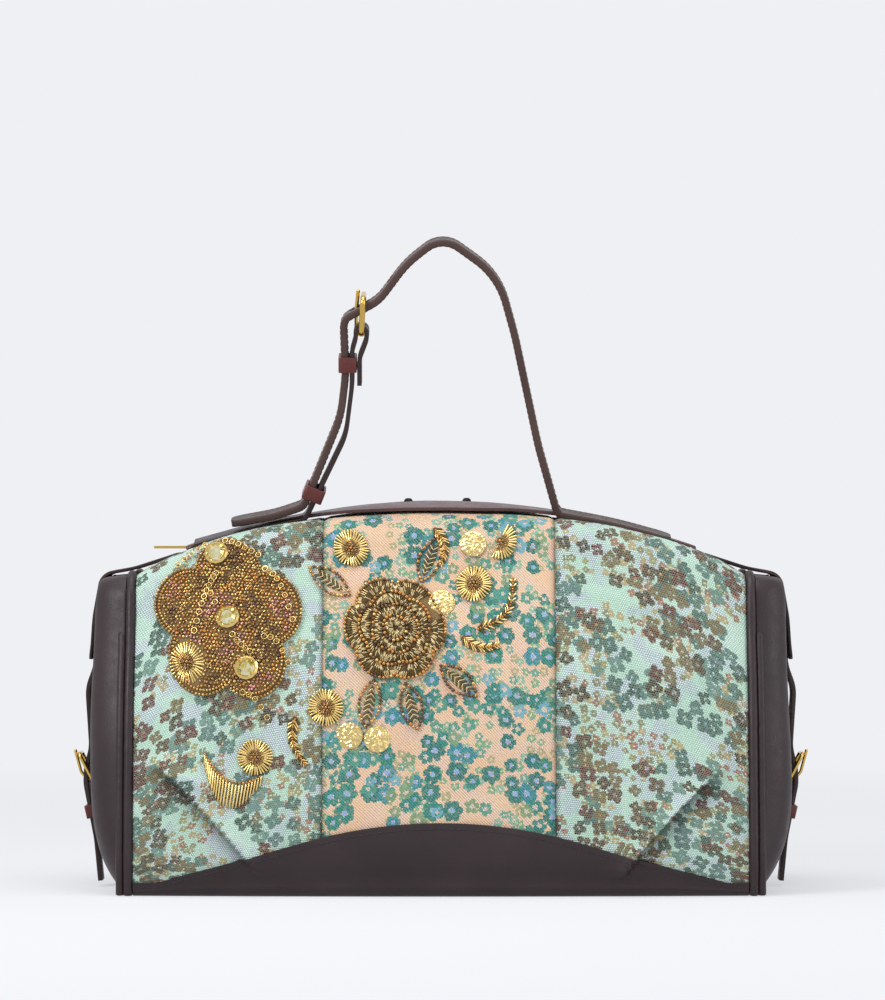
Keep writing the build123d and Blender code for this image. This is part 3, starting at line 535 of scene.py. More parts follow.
@dataclass(frozen=True)
class Nappa:
    """Nappa leather, drum dyed and lightly polished: a fine pebble grain with a soft, broad shine."""

    name: str
    colour: str
    worn: str
    grain: float = 0.9
    roughness: float = 0.46
    relief: float = 0.25

    def material(self) -> bpy.types.Material:
        """Builds the leather from its grain, its larger wrinkles and uneven dye."""
        material, tree = new_material(self.name)
        place = add_node(tree, "ShaderNodeTexCoord", None, None, "Object")
        grains = add_node(tree, VORONOI, {"feature": "SMOOTH_F1"},
                          {"Vector": place, "Scale": 1000 / self.grain, "Smoothness": 0.4})
        wrinkle = add_node(tree, NOISE, None, {"Vector": place, "Scale": 160.0, "Detail": 5.0, "Roughness": 0.6})
        both = add_node(tree, MATH, {"operation": "MULTIPLY_ADD"}, {0: grains, 1: 0.6, 2: wrinkle})
        dye = add_node(tree, NOISE, None, {"Vector": place, "Scale": 22.0, "Detail": 3.0})
        share = add_node(tree, RANGE, None, {0: dye, 1: 0.35, 2: 0.75})
        colour = add_node(tree, MIX, {"data_type": "RGBA"},
                          {0: share, MIX_A: hex_colour(self.colour), MIX_B: hex_colour(self.worn)}, MIX_COLOUR)
        rough = add_node(tree, RANGE, None, {0: wrinkle, 1: 0.3, 2: 0.7, 3: self.roughness - 0.06, 4: self.roughness + 0.08})
        bump = add_node(tree, BUMP, None, {"Strength": self.relief, "Distance": 0.0004, "Height": both})
        shader = add_node(tree, SHADER, None, {
            "Base Color": colour, "Roughness": rough, "IOR": 1.5, "Specular IOR Level": 0.36, "Normal": bump})
        close_material(tree, shader)
        return material


@dataclass(frozen=True)
class PlatedBrass:
    """Cast or stamped brass with a gold plate: a warm mirror with fine rubbing marks."""

    name: str
    colour: str
    roughness: float = 0.2
    dent: float = 0.0
    dent_size: float = 2.0

    def material(self) -> bpy.types.Material:
        """Builds the metal with slight smears and, where wanted, hammer marks."""
        material, tree = new_material(self.name)
        place = add_node(tree, "ShaderNodeTexCoord", None, None, "Object")
        smear = add_node(tree, NOISE, None, {"Vector": place, "Scale": 300.0, "Detail": 3.0})
        rough = add_node(tree, RANGE, None, {0: smear, 1: 0.3, 2: 0.7, 3: self.roughness * 0.75, 4: self.roughness * 1.3})
        shine = {"Base Color": hex_colour(self.colour), "Metallic": 1.0, "Roughness": rough}
        if self.dent:
            marks = add_node(tree, VORONOI, {"feature": "SMOOTH_F1"},
                             {"Vector": place, "Scale": 1000 / self.dent_size, "Smoothness": 0.3})
            shine["Normal"] = add_node(tree, BUMP, None, {"Strength": self.dent, "Distance": 0.0006, "Height": marks})
        close_material(tree, add_node(tree, SHADER, None, shine))
        return material


@dataclass(frozen=True)
class BeadGlass:
    """Pressed glass beads with a silver or bronze lining: a deep colour under a hard, bright surface."""

    name: str
    colour: str
    metal: float = 0.55
    roughness: float = 0.16

    def material(self) -> bpy.types.Material:
        """Builds lined glass with a shade that changes a little from bead to bead."""
        material, tree = new_material(self.name)
        place = add_node(tree, "ShaderNodeTexCoord", None, None, "Object")
        blotch = add_node(tree, NOISE, None, {"Vector": place, "Scale": 260.0, "Detail": 1.0})
        share = add_node(tree, RANGE, None, {0: blotch, 1: 0.3, 2: 0.7, 3: 0.7, 4: 1.25})
        tint = hex_colour(self.colour)
        colour = add_node(tree, VECTOR, {"operation": "SCALE"}, {0: tint[:3], "Scale": share})
        close_material(tree, add_node(tree, SHADER, None, {
            "Base Color": colour, "Metallic": self.metal, "Roughness": self.roughness, "IOR": 1.52,
            "Coat Weight": 0.6, "Coat Roughness": 0.06}))
        return material


@dataclass(frozen=True)
class FoiledCrystal:
    """Cut crystal with a foil back: every facet is a small mirror, pale with a yellow depth."""

    name: str
    colour: str
    deep: str

    def material(self) -> bpy.types.Material:
        """Builds the stone with painted glint: its pale colour and its deep yellow lie in random small patches that
        stand in for light caught by the facets.
        """
        material, tree = new_material(self.name)
        place = add_node(tree, "ShaderNodeTexCoord", None, None, "Object")
        # Painted glint: random patches of the pale colour and the deep yellow stand in for light caught by the facets.
        painted_glints = add_node(tree, VORONOI, None, {"Vector": place, "Scale": 420.0}, "Color")
        share = add_node(tree, "ShaderNodeSeparateColor", None, {0: painted_glints})
        colour = add_node(tree, MIX, {"data_type": "RGBA"},
                          {0: share, MIX_A: hex_colour(self.colour), MIX_B: hex_colour(self.deep)}, MIX_COLOUR)
        close_material(tree, add_node(tree, SHADER, None, {
            "Base Color": colour, "Metallic": 0.9, "Roughness": 0.12, "Coat Weight": 0.5, "Coat Roughness": 0.02}))
        return material


@dataclass(frozen=True)
class WovenTape:
    """Plain woven cloth, such as a zip's tape or a lining: fine ribs that take the light softly."""

    name: str
    colour: str
    rib: float = 0.9

    def material(self) -> bpy.types.Material:
        """Builds the cloth from crossing ribs, drawn at 0.9 mm so that they show, as bumps and as painted light and
        shade.
        """
        material, tree = new_material(self.name)
        place = add_node(tree, "ShaderNodeTexCoord", None, None, "Object")
        scaled = add_node(tree, VECTOR, {"operation": "SCALE"}, {0: place, "Scale": 1000 / self.rib})
        ribs = add_node(tree, "ShaderNodeTexChecker", None, {"Vector": scaled, "Scale": 1.0}, "Fac")
        fuzz = add_node(tree, NOISE, None, {"Vector": place, "Scale": 900.0})
        height = add_node(tree, MATH, {"operation": "MULTIPLY_ADD"}, {0: ribs, 1: 0.5, 2: fuzz})
        # Painted light and shade: the colour is paler on the raised ribs and darker between them, besides a random fuzz
        # of tone.
        shade = add_node(tree, RANGE, None, {0: height, 1: 0.3, 2: 1.1, 3: 0.75, 4: 1.15})
        tint = hex_colour(self.colour)
        colour = add_node(tree, VECTOR, {"operation": "SCALE"}, {0: tint[:3], "Scale": shade})
        bump = add_node(tree, BUMP, None, {"Strength": 0.4, "Distance": 0.0003, "Height": height})
        close_material(tree, add_node(tree, SHADER, None, {
            "Base Color": colour, "Roughness": 0.85, "Sheen Weight": 0.2, "Normal": bump}))
        return material


@dataclass(frozen=True)
class TwistedThread:
    """Waxed or metal-wound thread: a fine slanting twist along each stitch."""

    name: str
    colour: str
    metal: float = 0.0
    roughness: float = 0.55

    def material(self) -> bpy.types.Material:
        """Builds the thread with a twist of half a millimetre, drawn only as slanting bands of painted light and shade
        in its colour.
        """
        material, tree = new_material(self.name)
        place = add_node(tree, "ShaderNodeTexCoord", None, None, "Object")
        # Painted light and shade: slanting bands make the colour paler and darker along the twist; there is no relief.
        twist = add_node(tree, "ShaderNodeTexWave", {"bands_direction": "DIAGONAL"},
                         {"Vector": place, "Scale": 600.0, "Distortion": 1.0})
        shade = add_node(tree, RANGE, None, {0: twist, 3: 0.7, 4: 1.2})
        tint = hex_colour(self.colour)
        colour = add_node(tree, VECTOR, {"operation": "SCALE"}, {0: tint[:3], "Scale": shade})
        close_material(tree, add_node(tree, SHADER, None, {
            "Base Color": colour, "Metallic": self.metal, "Roughness": self.roughness}))
        return material


MINT_TAPESTRY = Jacquard(
    "mint_jacquard_tapestry", "bcdac8", "c9e0d4", "93ae9e", "837c9c", "a3b39c",
    (Blossoms(5.4, 2.6, 4, ("8f8659", "a8946a", "7a7456", "94604f"), "d6cda4", 0.2, 0.50, 30.0, 61.0),
     Blossoms(10.0, 5.4, 4, ("3d5b59", "4a6b68", "2c4543", "5b7c76"), "6f8f84", 0.14, 0.50, 42.0, 17.0),
     Blossoms(9.6, 5.1, 4, ("3a1d17", "4f2f22", "571820", "6b5638"), "9a8158", 0.14, 0.50, 40.0, 143.0)))
PEACH_TAPESTRY = Jacquard(
    "peach_jacquard_tapestry", "e2b996", "dfc0a0", "93a39a", "7f8bb4", "9cc0b6",
    (Blossoms(6.2, 3.2, 5, ("6f9f7c", "7fab94", "5f9688", "a39c74"), "dcc6a2", 0.24, 0.47, 26.0, 31.0),
     Blossoms(11.4, 6.2, 6, ("23786d", "1f6a66", "2f7f8a", "2b6f68"), "93a8cc", 0.24, 0.49, 40.0, 77.0),
     Blossoms(9.4, 4.9, 5, ("4b8c7a", "6a9fae", "2f7a72", "75916a"), "c9bcae", 0.22, 0.54, 34.0, 211.0)),
    twill=True)
BAG_LEATHER = Nappa("dark_brown_nappa_leather", "22161a", "2c1f22")
BAND_LEATHER = Nappa("polished_nappa_leather", "4a3234", "5a4042", roughness=0.36)
STRAP_LEATHER = Nappa("bridle_strap_leather", "231413", "301d1b", roughness=0.4, relief=0.18)
STRAP_EDGE = Nappa("raw_strap_edge", "3a2825", "4c3833", roughness=0.6, grain=0.5)
KEEPER_LEATHER = Nappa("burgundy_keeper_leather", "4f1d1a", "64302a", roughness=0.36)
STITCH = TwistedThread("brown_waxed_thread", "120c0d")
EDGE_STITCH = TwistedThread("tan_waxed_thread", "7d6253")
GOLD_THREAD = TwistedThread("antique_gold_thread", "5c4a28", metal=0.5, roughness=0.38)
PALE_GOLD_THREAD = TwistedThread("pale_gold_thread", "c6b180", metal=0.5, roughness=0.36)
HARDWARE = PlatedBrass("gold_plated_brass", "c8a654", 0.16)
ZIP_METAL = PlatedBrass("brushed_zip_brass", "b0904a", 0.3)
BUGLE_GOLD = PlatedBrass("gold_bugle_beads", "d6bc7a", 0.22)
DISC_GOLD = PlatedBrass("hammered_gold_disc", "cdb67c", 0.2, dent=0.8)
DARK_METAL = PlatedBrass("blackened_brass", "2a2628", 0.35)
AMBER = BeadGlass("amber_seed_beads", "b3772c")
BRONZE = BeadGlass("bronze_seed_beads", "8a6834", metal=0.7)
GOLD_BEAD = BeadGlass("gold_seed_beads", "bb9a58", metal=0.8)
ROSE_BEAD = BeadGlass("rose_seed_beads", "b57a70")
BROWN_BEAD = BeadGlass("brown_seed_beads", "5a3a1c")
CRYSTAL = FoiledCrystal("foil_backed_crystal", "e6e4cc", "bfae3a")
NET = WovenTape("bronze_net_cloth", "7a6038", 1.0)
FELT = WovenTape("brown_backing_felt", "3d2d1a", 0.8)
ZIP_TAPE = WovenTape("brown_zip_tape", "3a2c2a")
LINING = WovenTape("cotton_lining", "6f5f50")
BOARD = WovenTape("stiff_board_paper", "8a7761", 1.6)


class Wardrobe:
    """Keeps one Blender material for each finish."""

    def __init__(self) -> None:
        """Starts with no material made."""
        self.made: dict[str, bpy.types.Material] = {}

    def get(self, finish: object) -> bpy.types.Material:
        """The material of a finish, built on its first use."""
        if finish.name not in self.made:
            self.made[finish.name] = finish.material()
        return self.made[finish.name]


WARDROBE = Wardrobe()


def shaped_grid(columns: int, rows: int, place: Callable[[float, float], Vector],
                map_at: Callable[[float, float], tuple[float, float]] | None = None,
                painted_shade_at: Callable[[float, float], float] | None = None) -> bmesh.types.BMesh:
    """A grid of faces moved to a surface.

    Args:
        columns: faces across.
        rows: faces up.
        place: gives the point for shares from 0 to 1 across and up.
        map_at: gives the cloth map's place for the same shares, in metres.
        painted_shade_at: gives how much painted shade darkens the cloth's colour there, kept as an attribute named
            crease.

    Returns:
        The mesh, with a map named cloth where map_at is given.
    """
    bm = bmesh.new()
    bmesh.ops.create_grid(bm, x_segments=columns, y_segments=rows, size=0.5)
    crease = bm.verts.layers.float.new("crease") if painted_shade_at else None
    shares = {v: (v.co.x + 0.5, v.co.y + 0.5) for v in bm.verts}
    if map_at:
        layer = bm.loops.layers.uv.new("cloth")
        for face in bm.faces:
            for loop in face.loops:
                loop[layer].uv = map_at(*shares[loop.vert])
    for vert, share in shares.items():
        if painted_shade_at:
            vert[crease] = painted_shade_at(*share)
        vert.co = place(*share)
    return bm


def finish_piece(name: str, bm: bmesh.types.BMesh, finishes: Sequence[object], body: str = "root",
                 smooth: bool = True) -> bpy.types.Object:
    """Turns a bmesh into a piece of the bag.

    Args:
        name: the piece's name.
        bm: its mesh, which is freed.
        finishes: the finishes of its material slots.
        body: the body that it moves with.
        smooth: whether its faces are shaded smooth.

    Returns:
        The new object.
    """
    mesh = bpy.data.meshes.new(name)
    for face in bm.faces:
        face.smooth = smooth
    bm.to_mesh(mesh)
    bm.free()
    piece = bpy.data.objects.new(name, mesh)
    bpy.context.scene.collection.objects.link(piece)
    for finish in finishes:
        mesh.materials.append(WARDROBE.get(finish))
    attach(piece, body)
    log.info("made %s with %d faces", name, len(mesh.polygons))
    return piece


def thicken(piece: bpy.types.Object, thickness: float, soften: float = 0.0, levels: int = 0) -> None:
    """Gives a sheet its thickness inwards, softens its edges and smooths it."""
    shell = piece.modifiers.new("thickness", "SOLIDIFY")
    shell.thickness = thickness
    shell.offset = -1.0
    shell.use_even_offset = False
    if soften:
        round_edge = piece.modifiers.new("soft_edge", "BEVEL")
        round_edge.width = soften
        round_edge.segments = 3
        round_edge.limit_method = "ANGLE"
        round_edge.angle_limit = math.radians(50)
    if levels:
        smooth = piece.modifiers.new("smooth", "SUBSURF")
        smooth.levels = levels
        smooth.render_levels = levels


class Tray:
    """Collects many copies of small shapes in one mesh."""

    def __init__(self) -> None:
        """Starts with nothing laid."""
        self.done: list[bpy.types.Mesh] = []
        self.open = bmesh.new()
        self.held = 0

    def lay(self, template: bpy.types.Mesh, where: Matrix, finish: int = 0) -> None:
        """Adds one copy of a shape.

        Args:
            template: the shape, at the origin.
            where: its place, turn and size.
            finish: number of the material slot that it takes.
        """
        template.polygons.foreach_set("material_index", [finish] * len(template.polygons))
        start = len(self.open.verts)
        self.open.from_mesh(template)
        self.open.verts.ensure_lookup_table()
        bmesh.ops.transform(self.open, matrix=where, verts=self.open.verts[start:])
        self.held += 1
        if self.held == 40:
            self.close()

    def close(self) -> None:
        """Puts the open batch aside, so that each batch stays small and quick."""
        mesh = bpy.data.meshes.new("batch")
        self.open.to_mesh(mesh)
        self.open.free()
        self.done.append(mesh)
        self.open = bmesh.new()
        self.held = 0

    @property
    def bm(self) -> bmesh.types.BMesh:
        """All the copies in one mesh."""
        self.close()
        whole = bmesh.new()
        for mesh in self.done:
            whole.from_mesh(mesh)
            bpy.data.meshes.remove(mesh)
        self.open.free()
        return whole


def bead_template(name: str) -> bpy.types.Mesh:
    """A seed bead one unit across: a small round shape flattened at its hole."""
    bm = bmesh.new()
    bmesh.ops.create_uvsphere(bm, u_segments=8, v_segments=5, radius=0.5)
    bmesh.ops.scale(bm, vec=(1, 1, 0.82), verts=bm.verts)
    for face in bm.faces:
        face.smooth = True
    mesh = bpy.data.meshes.new(name)
    bm.to_mesh(mesh)
    bm.free()
    return mesh


def rod_template(name: str, sides: int, taper: float = 1.0) -> bpy.types.Mesh:
    """A rod one unit long and one across, along x from the origin, with rounded rims."""
    bm = bmesh.new()
    bmesh.ops.create_cone(bm, cap_ends=True, segments=sides, radius1=0.5, radius2=0.5 * taper, depth=1.0)
    rims = [e for e in bm.edges if len(e.link_faces) == 2 and e.calc_face_angle(0) > 1.2]
    bmesh.ops.bevel(bm, geom=rims, offset=0.12, segments=1, profile=0.5, affect="EDGES", material=-1)
    bmesh.ops.rotate(bm, cent=(0, 0, 0), matrix=Matrix.Rotation(math.pi / 2, 3, "Y"), verts=bm.verts)
    bmesh.ops.translate(bm, vec=(0.5, 0, 0), verts=bm.verts)
    for face in bm.faces:
        face.smooth = True
    mesh = bpy.data.meshes.new(name)
    bm.to_mesh(mesh)
    bm.free()
    return mesh


def ring_template(name: str, wire: float) -> bpy.types.Mesh:
    """A ring one unit across of round wire, lying flat."""
    bm = bmesh.new()
    profile = bmesh.ops.create_circle(bm, segments=5, radius=wire)["verts"]
    bmesh.ops.rotate(bm, cent=(0, 0, 0), matrix=Matrix.Rotation(math.pi / 2, 3, "X"), verts=profile)
    bmesh.ops.translate(bm, vec=(0.5 - wire, 0, 0), verts=profile)
    bmesh.ops.spin(bm, geom=bm.verts[:] + bm.edges[:], cent=(0, 0, 0), axis=(0, 0, 1), angle=math.tau, steps=12,
                   use_merge=True)
    bmesh.ops.recalc_face_normals(bm, faces=bm.faces)
    for face in bm.faces:
        face.smooth = True
    mesh = bpy.data.meshes.new(name)
    bm.to_mesh(mesh)
    bm.free()
    return mesh


def rosette_felt(name: str, radius: float) -> bpy.types.Mesh:
    """The round felt that a rosette is sewn on."""
    bm = bmesh.new()
    bmesh.ops.create_cone(bm, cap_ends=True, segments=28, radius1=radius, radius2=radius * 0.94, depth=1.0 * MM)
    bmesh.ops.translate(bm, vec=(0, 0, 0.5 * MM), verts=bm.verts)
    mesh = bpy.data.meshes.new(name)
    bm.to_mesh(mesh)
    bm.free()
    return mesh


def sequin_template(name: str) -> bpy.types.Mesh:
    """A cupped sequin one unit across."""
    bm = bmesh.new()
    bmesh.ops.create_cone(bm, cap_ends=True, segments=8, radius1=0.5, radius2=0.26, depth=0.16)
    mesh = bpy.data.meshes.new(name)
    bm.to_mesh(mesh)
    bm.free()
    return mesh


def standing(origin: Vector, outward: Vector, along: Vector, size: Vector) -> Matrix:
    """A place for a small shape: its z points outwards and its x along a direction."""
    z = outward.normalized()
    x = (along - z * along.dot(z)).normalized()
    y = z.cross(x)
    turn = Matrix((x, y, z)).transposed().to_4x4()
    return Matrix.Translation(origin) @ turn @ Matrix.Diagonal((*size, 1.0))


def lay_rod(tray: Tray, template: bpy.types.Mesh, start: Vector, end: Vector, outward: Vector, width: float,
            finish: int = 0) -> None:
    """Lays a rod from one point to another."""
    run = end - start
    side = outward.cross(run).normalized()
    true_out = run.normalized().cross(side) * -1
    z = true_out if true_out.dot(outward) > 0 else -true_out
    x = run.normalized()
    turn = Matrix((x, z.cross(x), z)).transposed().to_4x4()
    tray.lay(template, Matrix.Translation(start) @ turn @ Matrix.Diagonal((run.length, width, width, 1.0)), finish)


def stitch_row(tray: Tray, template: bpy.types.Mesh, points: Sequence[Vector], outs: Sequence[Vector], length: float,
               gap: float, width: float, finish: int = 0) -> None:
    """Runs a row of stitches along a line.

    Args:
        tray: the mesh that takes them.
        template: a rod.
        points: the line, on the surface.
        outs: the direction out of the surface at each point.
        length: of one stitch.
        gap: between two stitches.
        width: of the thread.
        finish: number of the material slot.
    """
    steps = [0.0]
    for before, after in zip(points[:-1], points[1:]):
        steps.append(steps[-1] + (after - before).length)
    table = np.array([tuple(p) for p in points])
    ways = np.array([tuple(o) for o in outs])
    place = gap
    while place + length < steps[-1]:
        ends = [Vector([float(np.interp(place + d, steps, table[:, k])) for k in range(3)]) for d in (0, length)]
        out = Vector([float(np.interp(place, steps, ways[:, k])) for k in range(3)])
        lay_rod(tray, template, ends[0], ends[1], out, width, finish)
        place += length + gap


@dataclass
class TapestryWalls:
    """Six tapestry panels, sewn edge to edge, slack enough to fold near the corners."""

    thickness: float = 1.7 * MM
    cell: float = 1.4 * MM
    seam_depth: float = 1.1 * MM

    def build(self) -> None:
        """Makes the panels of both walls."""
        spans = {"left": (-FORM.half_seam, FORM.seam_left, MINT_TAPESTRY, "tapestry"),
                 "centre": (FORM.seam_left, FORM.seam_right, PEACH_TAPESTRY, "centre_tapestry"),
                 "right": (FORM.seam_right, FORM.half_seam, MINT_TAPESTRY, "tapestry")}
        for side in Side:
            for place, (start, end, finish, slot) in spans.items():
                self.panel(side, place, start, end, finish, slot)

    def panel(self, side: Side, place: str, start: float, end: float, finish: Jacquard, slot: str) -> None:
        """Makes one panel.

        Args:
            side: front or back.
            place: left, centre or right.
            start: where it begins along the bag.
            end: where it ends.
            finish: its cloth.
            slot: the material slot's name, not used.
        """
        length = FORM.wall_length
        shift = {"left": 0.0, "centre": 0.31, "right": 0.74}[place] + (0.0 if side is Side.FRONT else 1.3)

        def spot(u: float, v: float) -> Vector:
            """A point of the panel."""
            x = start + (end - start) * u
            along = length * v
            lift = cloth_lift(side, x, along) - self.seam_depth * seam_dip(x)
            return FORM.place(side, x, along, lift)

        def cloth(u: float, v: float) -> tuple[float, float]:
            """The same point on the flat cloth."""
            return (start + (end - start) * u + shift, length * v + shift)

        def shade(u: float, v: float) -> float:
            """How much painted shade the folds and seams put on the point's colour."""
            return painted_fold_and_seam_shade(side, start + (end - start) * u, length * v)

        bm = shaped_grid(round((end - start) / self.cell), round(length / self.cell), spot, cloth, shade)
        if side is Side.BACK:
            bmesh.ops.reverse_faces(bm, faces=bm.faces)
        name = f"{side.name.lower()}_{place}"
        piece = finish_piece(f"{name}_tapestry", bm, [finish])
        thicken(piece, self.thickness)
        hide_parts(f"{name}_panel")


@dataclass
class LeatherBase:
    """The base leather: flat under the bag, folded up into an arched flap on the front and back, topstitched."""

    thickness: float = 2.0 * MM
    seat: float = 0.15 * MM
    arch_height: float = 42 * MM
    arch_corner: float = 7 * MM
    arch_half_length: float = 163 * MM
    arch_tangent: float = 75 * MM
    arch_shoulder: float = 31.5 * MM
    stitch_inset: float = 3.4 * MM

    def edge_height(self, x: float) -> float:
        """Height of the flap's edge at a place along the bag."""
        reach = abs(x)
        if reach > self.arch_half_length:
            return self.arch_corner
        if reach > self.arch_tangent:
            share = (reach - self.arch_tangent) / (self.arch_half_length - self.arch_tangent)
            return self.arch_shoulder + (self.arch_corner - self.arch_shoulder) * share
        rise = self.arch_height - self.arch_shoulder
        radius = (self.arch_tangent**2 + rise**2) / (2 * rise)
        return self.arch_height - radius + math.sqrt(radius**2 - reach**2)

    def section_point(self, x: float, v: float) -> Vector:
        """A point of the outer face from the front flap's edge, under the bag, to the back flap's."""
        side = Side.FRONT if v < 0.5 else Side.BACK
        share = abs(v - 0.5) * 2
        lift = self.thickness + self.seat
        corner = FORM.base_corner
        foot = FORM.place(side, x, 0.0, lift)
        if share > 0.42:
            along = FORM.along_at(x, self.edge_height(x)) * (share - 0.42) / 0.58
            blend = ease(along / (12 * MM))
            return FORM.place(side, x, along, lift + cloth_lift(side, x, along) * blend)
        if share > 0.3:
            turn = (share - 0.3) / 0.12 * math.pi / 2
            return Vector((x, foot.y - side.value * corner * (1 - math.sin(turn)), corner * (1 - math.cos(turn))))
        return Vector((x, (foot.y - side.value * corner) * share / 0.3, 0.0))

    def build(self) -> None:
        """Makes the leather and its two rows of topstitching."""
        reach = FORM.half_seam

        def spot(u: float, v: float) -> Vector:
            """A point of the base."""
            return self.section_point(reach * (2 * u - 1), v)

        bm = shaped_grid(140, 120, spot)
        piece = finish_piece("base_leather", bm, [BAG_LEATHER])
        face_out(piece, Vector((0, 0, -1)))
        thicken(piece, self.thickness, soften=0.5 * MM, levels=0)
        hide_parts("base_panel")
        self.end_skirts()
        tray = Tray()
        thread = rod_template("base_thread", 6)
        for side in Side:
            points, outs = [], []
            for i in range(161):
                x = (reach - 3 * MM) * (i / 80 - 1)
                along = FORM.along_at(x, self.edge_height(x)) - self.stitch_inset
                lift = self.thickness + self.seat + cloth_lift(side, x, along) * ease(along / (12 * MM))
                points.append(FORM.place(side, x, along, lift))
                outs.append(FORM.outward(side, x, along))
            stitch_row(tray, thread, points, outs, 2.6 * MM, 1.1 * MM, 0.75 * MM)
        stitches = finish_piece("base_topstitching", tray.bm, [STITCH])

    def end_skirts(self) -> None:
        """The base leather runs on a little under each gusset."""
        for end in End:
            inner, outer = FORM.half_seam - 1 * MM, FORM.half_seam + 7 * MM
            half = FORM.half_depth - 18 * MM

            def spot(u: float, v: float) -> Vector:
                """A point of the flap under the gusset."""
                return Vector((end.value * (inner + (outer - inner) * u), half * (2 * v - 1), self.thickness))

            bm = shaped_grid(4, 40, spot)
            piece = finish_piece(f"{end.name.lower()}_base_skirt", bm, [BAG_LEATHER])
            face_out(piece, Vector((0, 0, 1)))
            thicken(piece, self.thickness, soften=0.5 * MM)


def face_out(piece: bpy.types.Object, outward: Vector) -> None:
    """Turns a sheet's faces round where most of them look against a direction."""
    if sum(polygon.area * polygon.normal.dot(outward) for polygon in piece.data.polygons) < 0:
        piece.data.flip_normals()


@dataclass
class Gussets:
    """The two ends: soft leather that rolls out beside the piping and folds in along its middle."""

    thickness: float = 2.0 * MM
    seam: float = 179.5 * MM
    levels: tuple[tuple[float, float, float], ...] = (
        (2.15 * MM, 180.8 * MM, 180.3 * MM), (12 * MM, 188 * MM, 187 * MM), (35 * MM, 196 * MM, 192 * MM),
        (64 * MM, 199 * MM, 189 * MM), (100 * MM, 199 * MM, 182 * MM), (140 * MM, 198 * MM, 175 * MM),
        (165 * MM, 197 * MM, 171 * MM), (175 * MM, 195 * MM, 173 * MM), (180 * MM, 190 * MM, 177 * MM))

    def width_at(self, z: float) -> float:
        """Half the gusset's width at a height: where the wall's cloth lies at the end seam."""
        along = FORM.along_at(FORM.half_seam, max(z, FORM.base_corner))
        return abs(FORM.place(Side.BACK, FORM.half_seam, along, -1 * MM).y)

    def build(self) -> None:
        """Makes both gussets, their welts and the piping in the four seams."""
        rise = SmoothLine([level for level in self.levels])
        heights = rise.sample(200)
        for end in End:
            self.gusset(end, heights)
            for side in Side:
                self.rolls(end, side)

    def gusset(self, end: End, heights: np.ndarray) -> None:
        """Makes one gusset.

        Args:
            end: left or right.
            heights: height, crest and fold along the rise.
        """
        rows = [SmoothLine(self.section(*map(float, level))) for level in heights[::4]]

        def spot(u: float, v: float) -> Vector:
            """A point of the gusset: u across it, v up."""
            place = v * (len(rows) - 1)
            low = min(int(place), len(rows) - 2)
            share = place - low
            near, far = rows[low].at(u), rows[low + 1].at(u)
            x, y, z = near + (far - near) * share
            # Nappa over soft stiffening: shallow waves that run up the roll
            dent = 1.0 * MM * waves(y * 40, z * 14, 5.0 + end.value) * ease(min(u, 1 - u) * 8)
            return Vector((end.value * (x + dent), y, z))

        bm = shaped_grid(72, 90, spot)
        if end is End.LEFT:
            bmesh.ops.reverse_faces(bm, faces=bm.faces)
        name = end.name.lower()
        piece = finish_piece(f"{name}_gusset_leather", bm, [BAG_LEATHER])
        thicken(piece, self.thickness, levels=1)
        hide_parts(f"{name}_gusset")

    def section(self, z: float, crest: float, fold: float) -> list[tuple[float, float, float]]:
        """The gusset's outer outline at a height, from front to back."""
        width = self.width_at(z)
        rise = crest - self.seam
        near = [(self.seam, -width), (self.seam + 0.7 * rise, -0.89 * width), (crest, -0.76 * width),
                (fold + 0.3 * (crest - fold), -0.36 * width)]
        outline = near + [(fold, 0.0)] + [(x, -y) for x, y in reversed(near)]
        return [(x, y, z + FORM.crown(FORM.half_seam, abs(y), z)) for x, y in outline]

    def seam_route(self, side: Side, lift: float) -> list[Vector]:
        """The end seam from the floor to the zip."""
        points = []
        for i in range(60):
            along = FORM.wall_length * i / 59 - 4 * MM
            points.append(FORM.place(side, FORM.half_seam, along, lift))
        return points

    def rolls(self, end: End, side: Side) -> None:
        """The piping, and the gusset's own rolled edge beside it."""
        name = f"{end.name.lower()}_{side.name.lower()}"
        piping = self.tube(f"{name}_leather_piping", end, side, 176.8 * MM, 2.7 * MM, -0.6 * MM, 1.0)
        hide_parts(f"{name}_piping")
        welt = self.tube(f"{name}_gusset_welt", end, side, 181.4 * MM, 2.5 * MM, -2.6 * MM, 0.8)

    def tube(self, name: str, end: End, side: Side, x: float, radius: float, lift: float,
             reach: float) -> bpy.types.Object:
        """A soft roll of leather along the end seam."""
        line = self.seam_route(side, lift)
        line = line[:round(len(line) * reach)]
        path = SmoothLine([tuple(p) for p in line[::4]])

        def spot(u: float, v: float) -> Vector:
            """A point round the roll: u along it, v round it."""
            here = Vector(path.at(u))
            ahead = Vector(path.at(min(1.0, u + 0.004))) - Vector(path.at(max(0.0, u - 0.004)))
            ahead.x = 0
            ahead.normalize()
            out = Vector((0, side.value * ahead.z, -side.value * ahead.y))
            turn = v * math.tau * end.value * side.value
            pinch = 1 + 0.05 * waves(u * 40, side.value, end.value * 3.0)
            centre = Vector((end.value * x, here.y, here.z))
            return centre + radius * pinch * (math.cos(turn) * out + math.sin(turn) * Vector((1, 0, 0)))

        bm = shaped_grid(110, 14, spot)
        bmesh.ops.remove_doubles(bm, verts=bm.verts, dist=1e-6)
        bmesh.ops.holes_fill(bm, edges=bm.edges, sides=20)
        bmesh.ops.recalc_face_normals(bm, faces=bm.faces)
        return finish_piece(name, bm, [BAG_LEATHER])


